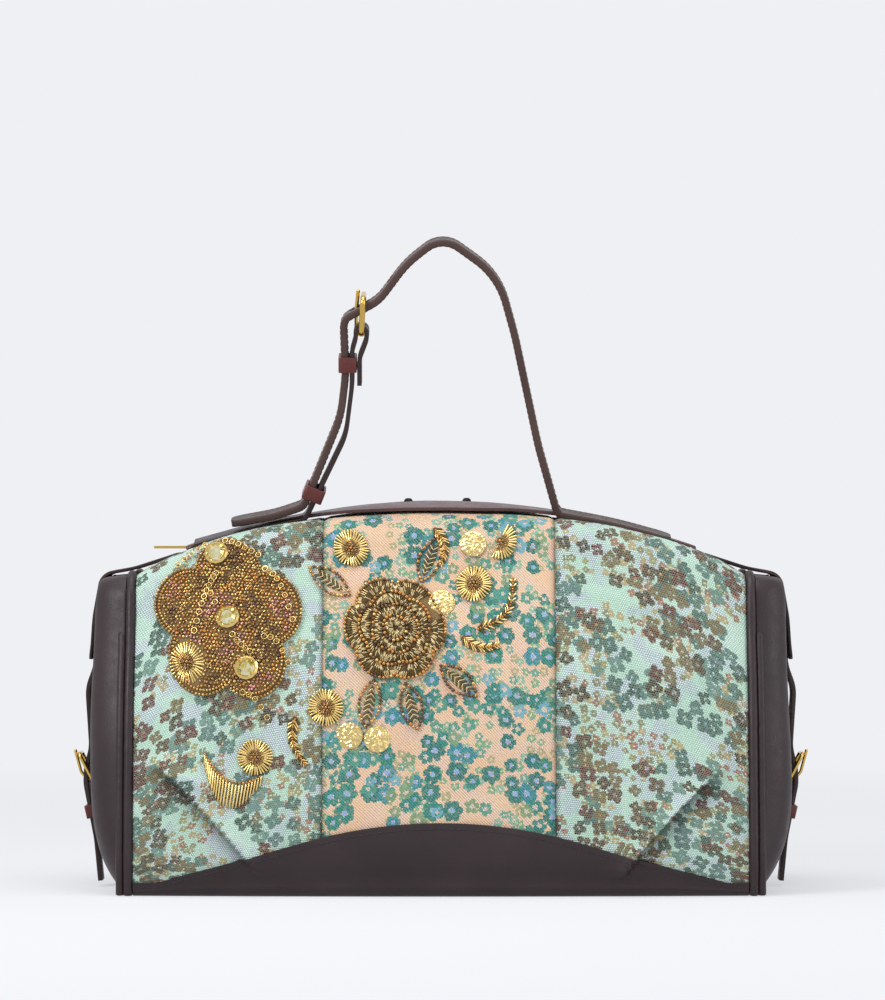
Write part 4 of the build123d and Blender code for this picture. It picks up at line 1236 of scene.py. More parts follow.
@dataclass
class ZipTop:
    """The lens-shaped leather bands beside the zip; the metal zip itself is dressed with the frame's other kept pieces.
    """

    half_length: float = 147 * MM
    half_width: float = 31 * MM
    inner: float = 7 * MM
    thickness: float = 1.8 * MM
    seat: float = 0.15 * MM

    def edge_at(self, x: float) -> float:
        """Distance of the band's curved edge from the middle plane."""
        bulge = self.half_width - self.inner
        radius = (self.half_length**2 + bulge**2) / (2 * bulge)
        return self.half_width - radius + math.sqrt(max(0.0, radius**2 - x**2))

    def roof(self, side: Side, x: float, distance: float, lift: float) -> Vector:
        """A point over the flat top."""
        height = FORM.top_height(distance) + lift / math.cos(FORM.top_slope)
        y, z = FORM.at_station(x, distance, height)
        return Vector((x, side.value * y, z + FORM.crown(x, distance, height)))

    def build(self) -> None:
        """Makes the bands with their stitching."""
        thread = rod_template("band_thread", 6)
        for side in Side:
            def spot(u: float, v: float) -> Vector:
                """A point of the band: u along it, v out from the zip."""
                x = self.half_length * (2 * u - 1)
                edge = self.edge_at(x)
                distance = self.inner + (edge - self.inner) * v
                puff = 0.5 * MM * math.sin(math.pi * v) + 0.25 * MM * waves(x * 30, v, side.value * 2.0)
                cover = cloth_lift(side, x, FORM.wall_length - distance + FORM.zip_gap)
                return self.roof(side, x, distance, self.thickness + self.seat + puff + cover)

            bm = shaped_grid(150, 12, spot)
            if side is Side.BACK:
                bmesh.ops.reverse_faces(bm, faces=bm.faces)
            name = side.name.lower()
            piece = finish_piece(f"{name}_band_leather", bm, [BAND_LEATHER])
            thicken(piece, self.thickness, soften=0.4 * MM)
            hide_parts(f"{name}_zip_band")
            tray = Tray()
            for row in (0.0, 1.0):
                points, outs = [], []
                for i in range(121):
                    x = (self.half_length - 12 * MM) * (i / 60 - 1)
                    edge = self.edge_at(x)
                    distance = self.inner + 2 * MM if row == 0 else edge - 2 * MM
                    lift = self.thickness + self.seat + 0.25 * MM
                    points.append(self.roof(side, x, distance, lift))
                    outs.append(Vector((0, side.value * math.sin(FORM.top_slope), math.cos(FORM.top_slope))))
                stitch_row(tray, thread, points, outs, 2.6 * MM, 1.0 * MM, 0.6 * MM)
            finish_piece(f"{name}_band_stitching", tray.bm, [STITCH])


def rounded_route(points: Sequence[tuple[float, float]], bends: Sequence[float],
                  step: float) -> list[tuple[float, float]]:
    """The line of a strap seen edge-on: straight runs joined by round bends.

    Args:
        points: corners, in millimetres.
        bends: radius at each inner corner.
        step: distance between the points returned.

    Returns:
        Closely spaced points in millimetres.
    """
    corners = [Vector(p) for p in points]
    line = [corners[0]]
    for i, bend in enumerate(bends, 1):
        run_in = (corners[i] - corners[i - 1]).normalized()
        run_out = (corners[i + 1] - corners[i]).normalized()
        turn = run_in.angle_signed(run_out)
        reach = bend * math.tan(abs(turn) / 2)
        begin = corners[i] - run_in * reach
        side = Vector((run_in.y, -run_in.x)) * (1 if turn > 0 else -1)
        centre = begin + side * bend
        count = max(3, int(abs(turn) * bend / step))
        for k in range(count + 1):
            swing = -turn * k / count
            arm = begin - centre
            line.append(centre + Vector((arm.x * math.cos(swing) - arm.y * math.sin(swing),
                                         arm.x * math.sin(swing) + arm.y * math.cos(swing))))
    line.append(corners[-1])
    dense = [line[0]]
    for after in line[1:]:
        before = dense[-1]
        run = after - before
        pieces = max(1, int(run.length / step))
        for k in range(1, pieces + 1):
            dense.append(before + run * k / pieces)
    return [tuple(p) for p in dense]


@dataclass
class Strap:
    """A flat leather strap that runs in one plane, with painted edges and rows of stitches."""

    name: str
    node: str
    origin: Vector
    across: Vector
    rise: Vector
    points: tuple[tuple[float, float], ...]
    bends: tuple[float, ...]
    thickness: float
    width: Callable[[float], float] | float
    stitched: bool = True
    slots: tuple[tuple[float, float, float, float, float], ...] = ()

    @property
    def sideways(self) -> Vector:
        """The direction across the strap's width."""
        return self.across.cross(self.rise).normalized()

    def local(self, x: float, y: float, w: float) -> Vector:
        """A point from the strap's own plane, in metres."""
        return self.origin + self.across * (x * MM) + self.rise * (y * MM) + self.sideways * (w * MM)

    def half_width(self, share: float) -> float:
        """Half the strap's width at a share of its length."""
        return (self.width(share) if callable(self.width) else self.width) / 2

    def build(self) -> bpy.types.Object:
        """Makes the strap as a closed band with soft rims."""
        line = rounded_route(self.points, self.bends, 1.6)
        path = np.array(line)
        steps = np.concatenate([[0.0], np.cumsum(np.linalg.norm(np.diff(path, axis=0), axis=1))])
        tangents = np.gradient(path, axis=0)
        tangents /= np.linalg.norm(tangents, axis=1)[:, None]
        count = max(24, int(steps[-1] / 1.6))
        rim = [(-1.0, -0.62), (-1.0, 0.62), (-0.965, 1.0), (-0.82, 1.0), (-0.4, 1.03), (0.0, 1.05), (0.4, 1.03),
               (0.82, 1.0), (0.965, 1.0), (1.0, 0.62), (1.0, -0.62), (0.965, -1.0), (0.82, -1.0), (0.0, -1.0),
               (-0.82, -1.0), (-0.965, -1.0)]

        def spot(u: float, v: float) -> Vector:
            """A point of the strap: u along it, v round its section."""
            place = u * steps[-1]
            x, y, tx, ty = (float(np.interp(place, steps, c)) for c in (*path.T, *tangents.T))
            k = v * len(rim)
            low = int(k) % len(rim)
            high = (low + 1) % len(rim)
            share = k - int(k)
            w = rim[low][0] + (rim[high][0] - rim[low][0]) * share
            n = rim[low][1] + (rim[high][1] - rim[low][1]) * share
            half = self.half_width(u)
            tip = min(place, steps[-1] - place)
            if tip < half * 0.9:
                half *= 0.55 + 0.45 * math.sqrt(max(0.0, 1 - (1 - tip / (half * 0.9)) ** 2))
            off = n * self.thickness / 2
            return self.local(x - ty * off, y + tx * off, w * half)

        bm = shaped_grid(count, len(rim), spot)
        bmesh.ops.remove_doubles(bm, verts=bm.verts, dist=1e-7)
        bmesh.ops.holes_fill(bm, edges=bm.edges, sides=len(rim) + 2)
        bmesh.ops.recalc_face_normals(bm, faces=bm.faces)
        for face in bm.faces:
            if abs(face.normal.dot(self.sideways)) > 0.8:
                face.material_index = 1
        piece = finish_piece(self.name, bm, [STRAP_LEATHER, STRAP_EDGE])
        self.punch(piece)
        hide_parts(self.node)
        if self.stitched:
            self.stitch(path, tangents, steps)
        return piece

    def punch(self, piece: bpy.types.Object) -> None:
        """Cuts the buckle holes through the strap."""
        if not self.slots:
            return
        bm = bmesh.new()
        for x, y, turn, length, wide in self.slots:
            lean = math.radians(turn)
            along = self.across * math.cos(lean) + self.rise * math.sin(lean)
            through = (self.rise * math.cos(lean) - self.across * math.sin(lean)).normalized()
            made = bmesh.ops.create_cone(bm, cap_ends=True, segments=20, radius1=wide / 2 * MM, radius2=wide / 2 * MM,
                                         depth=self.thickness * 3 * MM)["verts"]
            stretch = (length - wide) / 2 * MM
            for vert in made:
                vert.co.x += stretch if vert.co.x > 0 else -stretch
            turn_to = Matrix((along, through.cross(along), through)).transposed().to_4x4()
            bmesh.ops.transform(bm, matrix=Matrix.Translation(self.local(x, y, 0)) @ turn_to, verts=made)
        mesh = bpy.data.meshes.new(f"{self.name}_punch")
        bm.to_mesh(mesh)
        bm.free()
        tool = bpy.data.objects.new(f"{self.name}_punch", mesh)
        bpy.context.scene.collection.objects.link(tool)
        cut = piece.modifiers.new("holes", "BOOLEAN")
        cut.operation = "DIFFERENCE"
        cut.object = tool
        cut.solver = "EXACT"
        bake_modifiers(piece)
        bpy.data.objects.remove(tool)

    def stitch(self, path: np.ndarray, tangents: np.ndarray, steps: np.ndarray) -> None:
        """Runs a row of stitches near each edge, on both faces."""
        tray = Tray()
        thread = rod_template(f"{self.name}_thread", 6)
        inset = 1.9
        for face in (-1, 1):
            for edge in (-1, 1):
                points, outs = [], []
                for (x, y), (tx, ty), place in zip(path, tangents, steps):
                    if min(place, steps[-1] - place) < 5:
                        continue
                    off = face * (self.thickness / 2 + 0.04)
                    half = self.half_width(place / steps[-1]) - inset
                    points.append(self.local(x - ty * off, y + tx * off, edge * half))
                    outs.append((self.across * (-ty) + self.rise * tx) * face)
                stitch_row(tray, thread, points, outs, 2.3 * MM, 0.9 * MM, 0.55 * MM)
        finish_piece(f"{self.name}_stitching", tray.bm, [EDGE_STITCH])


def bake_modifiers(piece: bpy.types.Object) -> None:
    """Applies a piece's modifiers to its mesh."""
    bpy.context.view_layer.update()
    source = piece.evaluated_get(bpy.context.evaluated_depsgraph_get())
    mesh = bpy.data.meshes.new_from_object(source)
    piece.modifiers.clear()
    old = piece.data
    piece.data = mesh
    bpy.data.meshes.remove(old)


def soft_copy(name: str, node: str, finish: object, rim: float, body: str = "root") -> bpy.types.Object:
    """A copy of a frame node with rounded rims and a finish of its own.

    Args:
        name: the new piece's name.
        node: the node that it stands for.
        finish: its finish.
        rim: width of the rounding.
        body: the body that it moves with.

    Returns:
        The new piece.
    """
    bm = bmesh.new()
    bm.from_mesh(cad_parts[node].data)
    for face in bm.faces:
        face.material_index = 0
    bmesh.ops.remove_doubles(bm, verts=bm.verts, dist=1e-6)
    bmesh.ops.dissolve_limit(bm, angle_limit=math.radians(0.5), verts=bm.verts, edges=bm.edges)
    sharp = [e for e in bm.edges if len(e.link_faces) == 2 and e.calc_face_angle(0) > math.radians(45)]
    bmesh.ops.bevel(bm, geom=sharp, offset=rim, segments=2, profile=0.5, affect="EDGES", clamp_overlap=True,
                    material=-1)
    piece = finish_piece(name, bm, [finish], body, smooth=False)
    for polygon in piece.data.polygons:
        polygon.use_smooth = True
    piece.data.set_sharp_from_angle(angle=math.radians(40))
    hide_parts(node)
    return piece


@dataclass
class Handle:
    """The carrying handle: one long strap, a short buckle strap and their keepers."""

    distance: float = 21 * MM
    width: float = 17.5

    def frame_at(self) -> tuple[Vector, Vector, Vector]:
        """Origin and directions of the plane in which the handle runs."""
        slope = FORM.top_slope
        foot = FORM.top_height(self.distance) + 1.95 * MM / math.cos(slope)
        return (Vector((0, -self.distance, foot)), Vector((1, 0, 0)), Vector((0, -math.sin(slope), math.cos(slope))))

    def build(self) -> None:
        """Makes the two straps and the keepers."""
        origin, across, rise = self.frame_at()
        Strap("handle_leather", "handle_strap", origin, across, rise,
              ((132, -18.05), (100, -9.05), (67, -2.85), (55.8, 37), (42.2, 101), (32.7, 135.3), (0.8, 158.3),
               (-19.5, 142.5), (-35.5, 121), (-55.8, 110.3), (-54.6, 78), (-57.5, 54), (-78.7, 2.0), (-95.3, -3.6),
               (-120.5, -8.3)),
              (300, 5, 200, 200, 45, 15, 60, 25, 7, 80, 60, 7, 80), 3.8, self.width,
              slots=((-47.4, 114.7, 27.8, 8.2, 3.0), (-27.3, 132.0, 53.3, 5.0, 3.0), (-55.1, 94.0, 92.1, 5.0, 3.0),
                     (-55.2, 70.0, 83.1, 5.0, 3.0))).build()
        soft_copy("handle_buckle_leather", "handle_buckle_strap", STRAP_LEATHER, 0.4 * MM)
        soft_copy("handle_fixed_loop", "handle_fixed_keeper", KEEPER_LEATHER, 0.35 * MM)
        soft_copy("handle_sliding_loop", "handle_sliding_keeper", KEEPER_LEATHER, 0.35 * MM,
                  "handle_sliding_keeper")


@dataclass
class EndBelts:
    """At each end a tongue, a belt and its short buckle strap with a keeper."""

    def build(self) -> None:
        """Makes the leather of both ends."""
        for end in End:
            name = end.name.lower()
            soft_copy(f"{name}_tongue_leather", f"{name}_end_tongue", STRAP_LEATHER, 0.4 * MM)
            soft_copy(f"{name}_belt_leather", f"{name}_side_strap", STRAP_LEATHER, 0.4 * MM)
            soft_copy(f"{name}_chape_leather", f"{name}_side_chape", STRAP_LEATHER, 0.3 * MM)
            soft_copy(f"{name}_belt_loop", f"{name}_side_keeper", KEEPER_LEATHER, 0.3 * MM)


class CarriedOver:
    """The frame's own metal and inner pieces, which keep their shape and get a finish."""

    finishes = {
        "base_board": BOARD, "lining": LINING, "front_zip_tape": ZIP_TAPE, "back_zip_tape": ZIP_TAPE,
        "front_zip_teeth": ZIP_METAL, "back_zip_teeth": ZIP_METAL, "zip_stops": ZIP_METAL, "zip_slider": HARDWARE,
        "zip_puller": HARDWARE, "band_studs": DARK_METAL, "handle_buckle": HARDWARE, "handle_prong": HARDWARE,
        "left_side_buckle": HARDWARE, "left_side_prong": HARDWARE, "right_side_buckle": HARDWARE,
        "right_side_prong": HARDWARE}

    def build(self) -> None:
        """Gives each kept node its finish."""
        for node, finish in self.finishes.items():
            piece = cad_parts[node]
            piece.data.materials.clear()
            piece.data.materials.append(WARDROBE.get(finish))
            log.info("dressed %s", node)


def polar_patch(centre: tuple[float, float], outline: Callable[[float], float], lift: float, rings: int,
                spokes: int) -> bmesh.types.BMesh:
    """A patch of cloth laid on the front wall with a lobed outline.

    Args:
        centre: place along the bag and height.
        outline: reach of the outline at an angle.
        lift: distance from the tapestry.
        rings: faces from the middle to the edge.
        spokes: faces round it.

    Returns:
        The mesh.
    """
    def spot(u: float, v: float) -> Vector:
        """A point of the patch: u outwards, v round it."""
        angle = v * math.tau
        reach = outline(angle) * u
        drop = lift * (1 - ease((u - 0.93) / 0.07) * 0.8)
        point, _ = wall_place(centre[0] + reach * math.cos(angle), centre[1] + reach * math.sin(angle), drop)
        return point

    bm = shaped_grid(rings, spokes, spot)
    bmesh.ops.remove_doubles(bm, verts=bm.verts, dist=1e-6)
    bmesh.ops.recalc_face_normals(bm, faces=bm.faces)
    return bm


@dataclass
class Beadwork:
    """Everything that is sewn on the front: flowers, leaves, rosettes, discs, stones and sprigs."""

    blossom_centre: tuple[float, float] = (-121 * MM, 148 * MM)
    blossom_reach: float = 44 * MM
    rose_centre: tuple[float, float] = (-26 * MM, 150 * MM)
    rose_reach: float = 29 * MM
    rosettes: tuple[tuple[float, float], ...] = (
        (-51.3 * MM, 193.1 * MM), (18.7 * MM, 175.6 * MM), (-144 * MM, 124.6 * MM), (-64.9 * MM, 106 * MM),
        (-104.8 * MM, 78.5 * MM))
    discs: tuple[tuple[float, float], ...] = (
        (18.2 * MM, 198.3 * MM), (0.6 * MM, 165.5 * MM), (-51.5 * MM, 90.9 * MM), (-35.9 * MM, 88.9 * MM))
    stones: tuple[tuple[float, float], ...] = ((-128 * MM, 183 * MM), (-121 * MM, 148 * MM), (-110 * MM, 124 * MM))
    leaves: tuple[tuple[float, float, float], ...] = (
        (-38 * MM, 121.5 * MM, -100), (-20 * MM, 119.8 * MM, -75), (0.0, 130 * MM, -40),
        (-52 * MM, 167 * MM, 150), (-11 * MM, 177.5 * MM, 70))
    leaf_length: float = 26 * MM
    leaf_width: float = 12 * MM
    rosette_radius: float = 10.5 * MM
    disc_radius: float = 7.5 * MM
    dice: random.Random = field(default_factory=lambda: random.Random(7))

    def __post_init__(self) -> None:
        """Makes the small shapes that everything is sewn from."""
        self.bead = bead_template("seed_bead")
        self.bugle = rod_template("bugle_bead", 6)
        self.thread = rod_template("metal_thread", 5)
        self.ring = ring_template("jump_ring", 0.09)
        self.sequin = sequin_template("sequin")

    def build(self) -> None:
        """Makes all the trimmings."""
        self.make_rosettes()
        self.make_discs()
        self.make_stones()
        self.make_blossom()
        self.make_rose()
        self.make_leaves()
        self.make_sprigs()
        self.make_fringe()

    def spot(self, x: float, z: float, lift: float) -> tuple[Vector, Vector]:
        """A point over the front and its outward direction."""
        return wall_place(x, z, lift)

    def sew_bead(self, tray: Tray, x: float, z: float, size: float, finish: int, lift: float = 0.0) -> None:
        """Sews one bead flat on the front."""
        point, out = self.spot(x, z, lift + size * 0.38)
        turn = self.dice.uniform(0, math.tau)
        tilt = Vector((math.cos(turn), 0, math.sin(turn)))
        lean = (out + tilt * self.dice.uniform(0, 0.9)).normalized()
        tray.lay(self.bead, standing(point, lean, tilt + Vector((0.01, 0.3, 0)), Vector((size, size, size))), finish)

    def sew_row(self, tray: Tray, line: Sequence[tuple[float, float]], size: float, finishes: Sequence[int],
                lift: float = 0.0, pitch: float | None = None) -> None:
        """Sews a row of beads along a line on the front."""
        pitch = pitch or size * 1.02
        carried = 0.0
        for (x0, z0), (x1, z1) in zip(line[:-1], line[1:]):
            run = math.hypot(x1 - x0, z1 - z0)
            place = carried
            while place < run:
                share = place / run
                self.sew_bead(tray, x0 + (x1 - x0) * share, z0 + (z1 - z0) * share,
                              size * self.dice.uniform(0.9, 1.06), self.dice.choice(finishes), lift)
                place += pitch
            carried = place - run

    def sew_bugle(self, tray: Tray, start: tuple[float, float], end: tuple[float, float], width: float, low: float,
                  high: float, finish: int, template: bpy.types.Mesh | None = None) -> None:
        """Sews one long bead or stitch between two places."""
        first, out = self.spot(*start, low)
        last, _ = self.spot(*end, high)
        lay_rod(tray, template or self.bugle, first, last, out, width, finish)

    def make_rosettes(self) -> None:
        """Two rings of bugle beads round a cluster of seed beads."""
        tray = Tray()
        for x, z in self.rosettes:
            self.rosette(tray, x, z, 0.0, math.tau)
        fan = (33.5 * MM, 198.5 * MM)
        self.rosette(tray, *fan, -2.1, 3.2)
        felt = Tray()
        pad = rosette_felt("rosette_felt", self.rosette_radius - 1.2 * MM)
        for x, z in self.rosettes:
            point, out = self.spot(x, z, 0.1 * MM)
            felt.lay(pad, standing(point, out, Vector((1, 0, 0)), Vector((1, 1, 1))))
        finish_piece("rosette_backings", felt.bm, [FELT])
        piece = finish_piece("bugle_bead_rosettes", tray.bm, [BUGLE_GOLD, BRONZE, AMBER])
        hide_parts("bugle_rosettes")

    def rosette(self, tray: Tray, x: float, z: float, start: float, sweep: float) -> None:
        """One rosette, or a part of one."""
        rings = ((3.4 * MM, self.rosette_radius, 1.3 * MM, 1.3 * MM, 1.25 * MM, 34, 0),
                 (2.0 * MM, 5.4 * MM, 2.3 * MM, 1.9 * MM, 0.9 * MM, 20, 1))
        for inner, outer, low, high, width, count, finish in rings:
            for i in range(round(count * sweep / math.tau)):
                angle = start + sweep * (i + 0.5) / round(count * sweep / math.tau) + self.dice.uniform(-0.03, 0.03)
                way = (math.cos(angle), math.sin(angle))
                reach = outer * self.dice.uniform(0.95, 1.0)
                self.sew_bugle(tray, (x + inner * way[0], z + inner * way[1]),
                               (x + reach * way[0], z + reach * way[1]), width, low, high, finish)
        for i in range(7):
            angle = i * math.tau / 6
            gap = 0.0 if i == 6 else 1.7 * MM
            self.sew_bead(tray, x + gap * math.cos(angle), z + gap * math.sin(angle), 1.9 * MM,
                          1 if i < 6 else 2, 2.0 * MM if i < 6 else 2.6 * MM)

    def make_discs(self) -> None:
        """Thin round discs, hammered all over; the hole near the rim that sews each one on is not modelled."""
        tray = Tray()
        for k, (x, z) in enumerate(self.discs):
            point, out = self.spot(x, z, 0.7 * MM)
            bm = bmesh.new()
            bmesh.ops.create_circle(bm, cap_ends=True, segments=32, radius=self.disc_radius)
            bmesh.ops.inset_region(bm, faces=bm.faces[:], thickness=0.5 * MM)
            bmesh.ops.poke(bm, faces=[f for f in bm.faces if len(f.verts) > 8])
            bmesh.ops.subdivide_edges(bm, edges=[e for e in bm.edges if not e.is_boundary], cuts=5,
                                      use_grid_fill=True)
            for vert in bm.verts:
                reach = vert.co.length / self.disc_radius
                mark = waves(vert.co.x * 700, vert.co.y * 700, 11.0 + k) * 0.35 * MM
                vert.co.z += (1 - reach**2) * 0.6 * MM + mark * ease((1 - reach) * 6)
            bmesh.ops.solidify(bm, geom=bm.faces[:], thickness=0.5 * MM)
            mesh = bpy.data.meshes.new("disc")
            bm.to_mesh(mesh)
            bm.free()
            lean = (out + Vector((0.08 * math.sin(k * 2.4), 0, 0.1 * math.cos(k * 1.7)))).normalized()
            tray.lay(mesh, standing(point, lean, Vector((1, 0, 0)), Vector((1, 1, 1))))
            bpy.data.meshes.remove(mesh)
        piece = finish_piece("hammered_gold_discs", tray.bm, [DISC_GOLD], smooth=False)
        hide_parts("hammered_discs")

    def make_stones(self) -> None:
        """Faceted round stones, each in a ring of gold wire with four claws."""
        tray = Tray()
        for x, z in self.stones:
            self.stone(tray, x, z, 6.0 * MM, 2.6 * MM)
        piece = finish_piece("set_crystals", tray.bm, [CRYSTAL, BUGLE_GOLD], smooth=False)
        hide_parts("crystals")

    def stone(self, tray: Tray, x: float, z: float, radius: float, lift: float) -> None:
        """One stone in its setting."""
        point, out = self.spot(x, z, lift)
        bm = bmesh.new()
        bmesh.ops.create_cone(bm, cap_ends=True, segments=8, radius1=0.5, radius2=0.27, depth=0.3)
        bmesh.ops.translate(bm, vec=(0, 0, 0.2), verts=bm.verts)
        crown = [e for e in bm.edges if abs(e.verts[0].co.z - e.verts[1].co.z) > 0.1]
        bmesh.ops.bevel(bm, geom=crown, offset=0.05, segments=1, profile=0.5, affect="EDGES", material=-1)
        mesh = bpy.data.meshes.new("stone")
        bm.to_mesh(mesh)
        bm.free()
        size = Vector((radius * 2, radius * 2, radius * 1.7))
        tray.lay(mesh, standing(point, out, Vector((1, 0, 0.2)), size))
        bpy.data.meshes.remove(mesh)
        collar = Vector((radius * 2.3, radius * 2.3, radius * 2.6))
        tray.lay(self.ring, standing(point + out * 0.4 * MM, out, Vector((1, 0, 0)), collar), 1)
        for i in range(4):
            angle = math.tau * (i + 0.5) / 4
            way = Vector((math.cos(angle), 0, math.sin(angle)))
            way = (way - out * way.dot(out)).normalized()
            foot = point + way * radius * 1.02 + out * 0.5 * MM
            lay_rod(tray, self.bugle, foot, point + way * radius * 0.72 + out * 2.6 * MM, way, 1.0 * MM, 1)

    def blossom_outline(self, angle: float) -> float:
        """Reach of the blossom's edge at an angle: five round petals."""
        reach = 0.35 * self.blossom_reach
        arm, radius = 0.55 * self.blossom_reach, 0.44 * self.blossom_reach
        for k in range(5):
            off = angle - math.radians(90 + 72 * k)
            side = arm * math.sin(off)
            if math.cos(off) > 0 and abs(side) < radius:
                reach = max(reach, arm * math.cos(off) + math.sqrt(radius**2 - side**2))
        return reach

    def clear_of(self, x: float, z: float, places: Iterable[tuple[float, float]], radius: float) -> bool:
        """Whether a place keeps clear of round trimmings."""
        return all(math.hypot(x - a, z - b) > radius for a, b in places)

    def make_blossom(self) -> None:
        """The large blossom: net covered with beads and sequins, outlined in rows of beads."""
        cx, cz = self.blossom_centre
        base = polar_patch(self.blossom_centre, self.blossom_outline, 1.2 * MM, 22, 150)
        net = finish_piece("blossom_net", base, [NET])
        thicken(net, 0.8 * MM)
        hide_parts("blossom_applique")
        rows = Tray()
        for share, size, finishes in ((0.985, 2.0 * MM, (1, 1, 0)), (0.93, 1.8 * MM, (0, 2)),
                                      (0.62, 1.5 * MM, (1, 0)), (0.38, 1.5 * MM, (2, 1))):
            line = []
            for i in range(181):
                angle = i * math.tau / 180
                reach = self.blossom_outline(angle) * share
                line.append((cx + reach * math.cos(angle), cz + reach * math.sin(angle)))
            line = [p for p in line if self.clear_of(*p, self.rosettes, self.rosette_radius)]
            self.sew_row(rows, line, size, finishes, 1.2 * MM)
        for k in range(5):
            angle = math.radians(90 + 36 + 72 * k)
            line = [(cx + r * MM * math.cos(angle), cz + r * MM * math.sin(angle)) for r in range(9, 31)]
            self.sew_row(rows, line, 1.7 * MM, (1, 4), 1.3 * MM)
        outline = finish_piece("blossom_bead_rows", rows.bm, [GOLD_BEAD, BRONZE, AMBER, ROSE_BEAD, BROWN_BEAD])
        self.fill_blossom(cx, cz)
        self.ring_chains(cx, cz)

    def fill_blossom(self, cx: float, cz: float) -> None:
        """Scattered seed beads and sequins inside the blossom, in patches of rose and gold."""
        fill = Tray()
        pitch = 2.05 * MM
        reach = self.blossom_reach * 1.02
        rows = int(2 * reach / (pitch * 0.87))
        for row in range(rows):
            for column in range(int(2 * reach / pitch)):
                x = cx - reach + (column + 0.5 * (row % 2)) * pitch + self.dice.uniform(-0.4, 0.4) * MM
                z = cz - reach + row * pitch * 0.87 + self.dice.uniform(-0.4, 0.4) * MM
                angle = math.atan2(z - cz, x - cx)
                share = math.hypot(x - cx, z - cz) / self.blossom_outline(angle)
                if share > 0.9 or not self.clear_of(x, z, self.rosettes, self.rosette_radius + 0.5 * MM):
                    continue
                if not self.clear_of(x, z, self.stones, 6.2 * MM):
                    continue
                patch = waves(x * 55, z * 55, 2.0)
                if patch > 0.25:
                    finish = self.dice.choice((3, 3, 0, 2))
                elif patch < -0.3:
                    finish = self.dice.choice((1, 4, 1, 0))
                else:
                    finish = self.dice.choice((0, 2, 0, 1, 2))
                if self.dice.random() < 0.4:
                    point, out = self.spot(x, z, 1.7 * MM)
                    turn = self.dice.uniform(0, math.tau)
                    lean = out + Vector((math.cos(turn), 0, math.sin(turn))) * self.dice.uniform(0, 0.5)
                    size = self.dice.uniform(2.0, 2.6) * MM
                    fill.lay(self.sequin, standing(point, lean, Vector((1, 0, 0.3)), Vector((size, size, size))), finish)
                else:
                    self.sew_bead(fill, x, z, self.dice.uniform(1.3, 2.0) * MM, finish, 1.3 * MM)
        filling = finish_piece("blossom_bead_fill", fill.bm, [GOLD_BEAD, BRONZE, AMBER, ROSE_BEAD, BROWN_BEAD])

    def ring_chains(self, cx: float, cz: float) -> None:
        """Small gold rings, each with a bead in it, in curved chains over the petals."""
        tray = Tray()
        for k, (start, end, bow) in enumerate((((-150, 176), (-104, 184), 9), ((-100, 176), (-84, 150), 6),
                                              ((-131, 160), (-108, 132), -5), ((-112, 112), (-98, 100), 3),
                                              ((-140, 140), (-128, 172), 4), ((-100, 140), (-86, 128), 4))):
            count = max(4, int(math.hypot(end[0] - start[0], end[1] - start[1]) / 3.4))
            for i in range(count):
                share = i / (count - 1)
                x = (start[0] + (end[0] - start[0]) * share) * MM
                z = (start[1] + (end[1] - start[1]) * share + bow * math.sin(math.pi * share)) * MM
                if not self.clear_of(x, z, self.stones, 7 * MM):
                    continue
                if not self.clear_of(x, z, self.rosettes, self.rosette_radius + 1 * MM):
                    continue
                size = self.dice.uniform(3.4, 4.2) * MM
                point, out = self.spot(x, z, 2.9 * MM)
                lean = out + Vector((self.dice.uniform(-0.25, 0.25), 0, self.dice.uniform(-0.25, 0.25)))
                tray.lay(self.ring, standing(point, lean, Vector((1, 0, 0)), Vector((size, size, size))))
                self.sew_bead(tray, x, z, 1.7 * MM, 1 + (i + k) % 2, 1.9 * MM)
        rings = finish_piece("blossom_ring_chains", tray.bm, [BUGLE_GOLD, AMBER, BRONZE])

    def rose_outline(self, angle: float, reach: float, lobes: int, turn: float) -> float:
        """Reach of one row of the rose's petals at an angle."""
        return reach * (0.86 + 0.14 * abs(math.cos((angle - turn) * lobes / 2)) ** 0.6)

    def make_rose(self) -> None:
        """The rose: rows of petals in radiating metal thread, each row edged with beads."""
        cx, cz = self.rose_centre
        base = polar_patch(self.rose_centre, lambda a: self.rose_outline(a, self.rose_reach, 6, 0.0), 1.0 * MM, 14, 120)
        cloth = finish_piece("rose_net", base, [NET])
        thicken(cloth, 0.8 * MM)
        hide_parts("rose_applique")
        tray = Tray()
        rings = ((1.0, 0.70, 6, 0.0, 1.0), (0.72, 0.47, 5, 0.5, 1.6), (0.48, 0.24, 5, 1.2, 2.2), (0.25, 0.04, 3, 0.2, 2.8))
        for outer, inner, lobes, turn, lift in rings:
            edge = self.rose_reach * outer
            count = int(math.tau * edge / (0.95 * MM))
            for i in range(count):
                angle = i * math.tau / count
                far = self.rose_outline(angle, edge, lobes, turn) - 1.2 * MM
                near = self.rose_outline(angle, self.rose_reach * inner, lobes, turn)
                near += self.dice.uniform(0, 1.6) * MM
                lean = angle + 0.16 * math.sin(lobes * angle)
                start = (cx + near * math.cos(angle), cz + near * math.sin(angle))
                stop = (cx + far * math.cos(lean), cz + far * math.sin(lean))
                middle = ((start[0] + stop[0]) / 2, (start[1] + stop[1]) / 2)
                if not self.clear_of(*stop, self.discs, self.disc_radius):
                    continue
                shade = 1 if self.dice.random() < 0.55 else 0
                self.sew_bugle(tray, start, middle, 0.85 * MM, (lift + 0.1) * MM, (lift + 1.0) * MM, 1 - shade, self.thread)
                self.sew_bugle(tray, middle, stop, 0.85 * MM, (lift + 1.0) * MM, (lift + 0.2) * MM, shade, self.thread)
            line = []
            for i in range(121):
                angle = i * math.tau / 120
                reach = self.rose_outline(angle, edge, lobes, turn) - 0.3 * MM
                line.append((cx + reach * math.cos(angle), cz + reach * math.sin(angle)))
            line = [p for p in line if self.clear_of(*p, self.discs, self.disc_radius)]
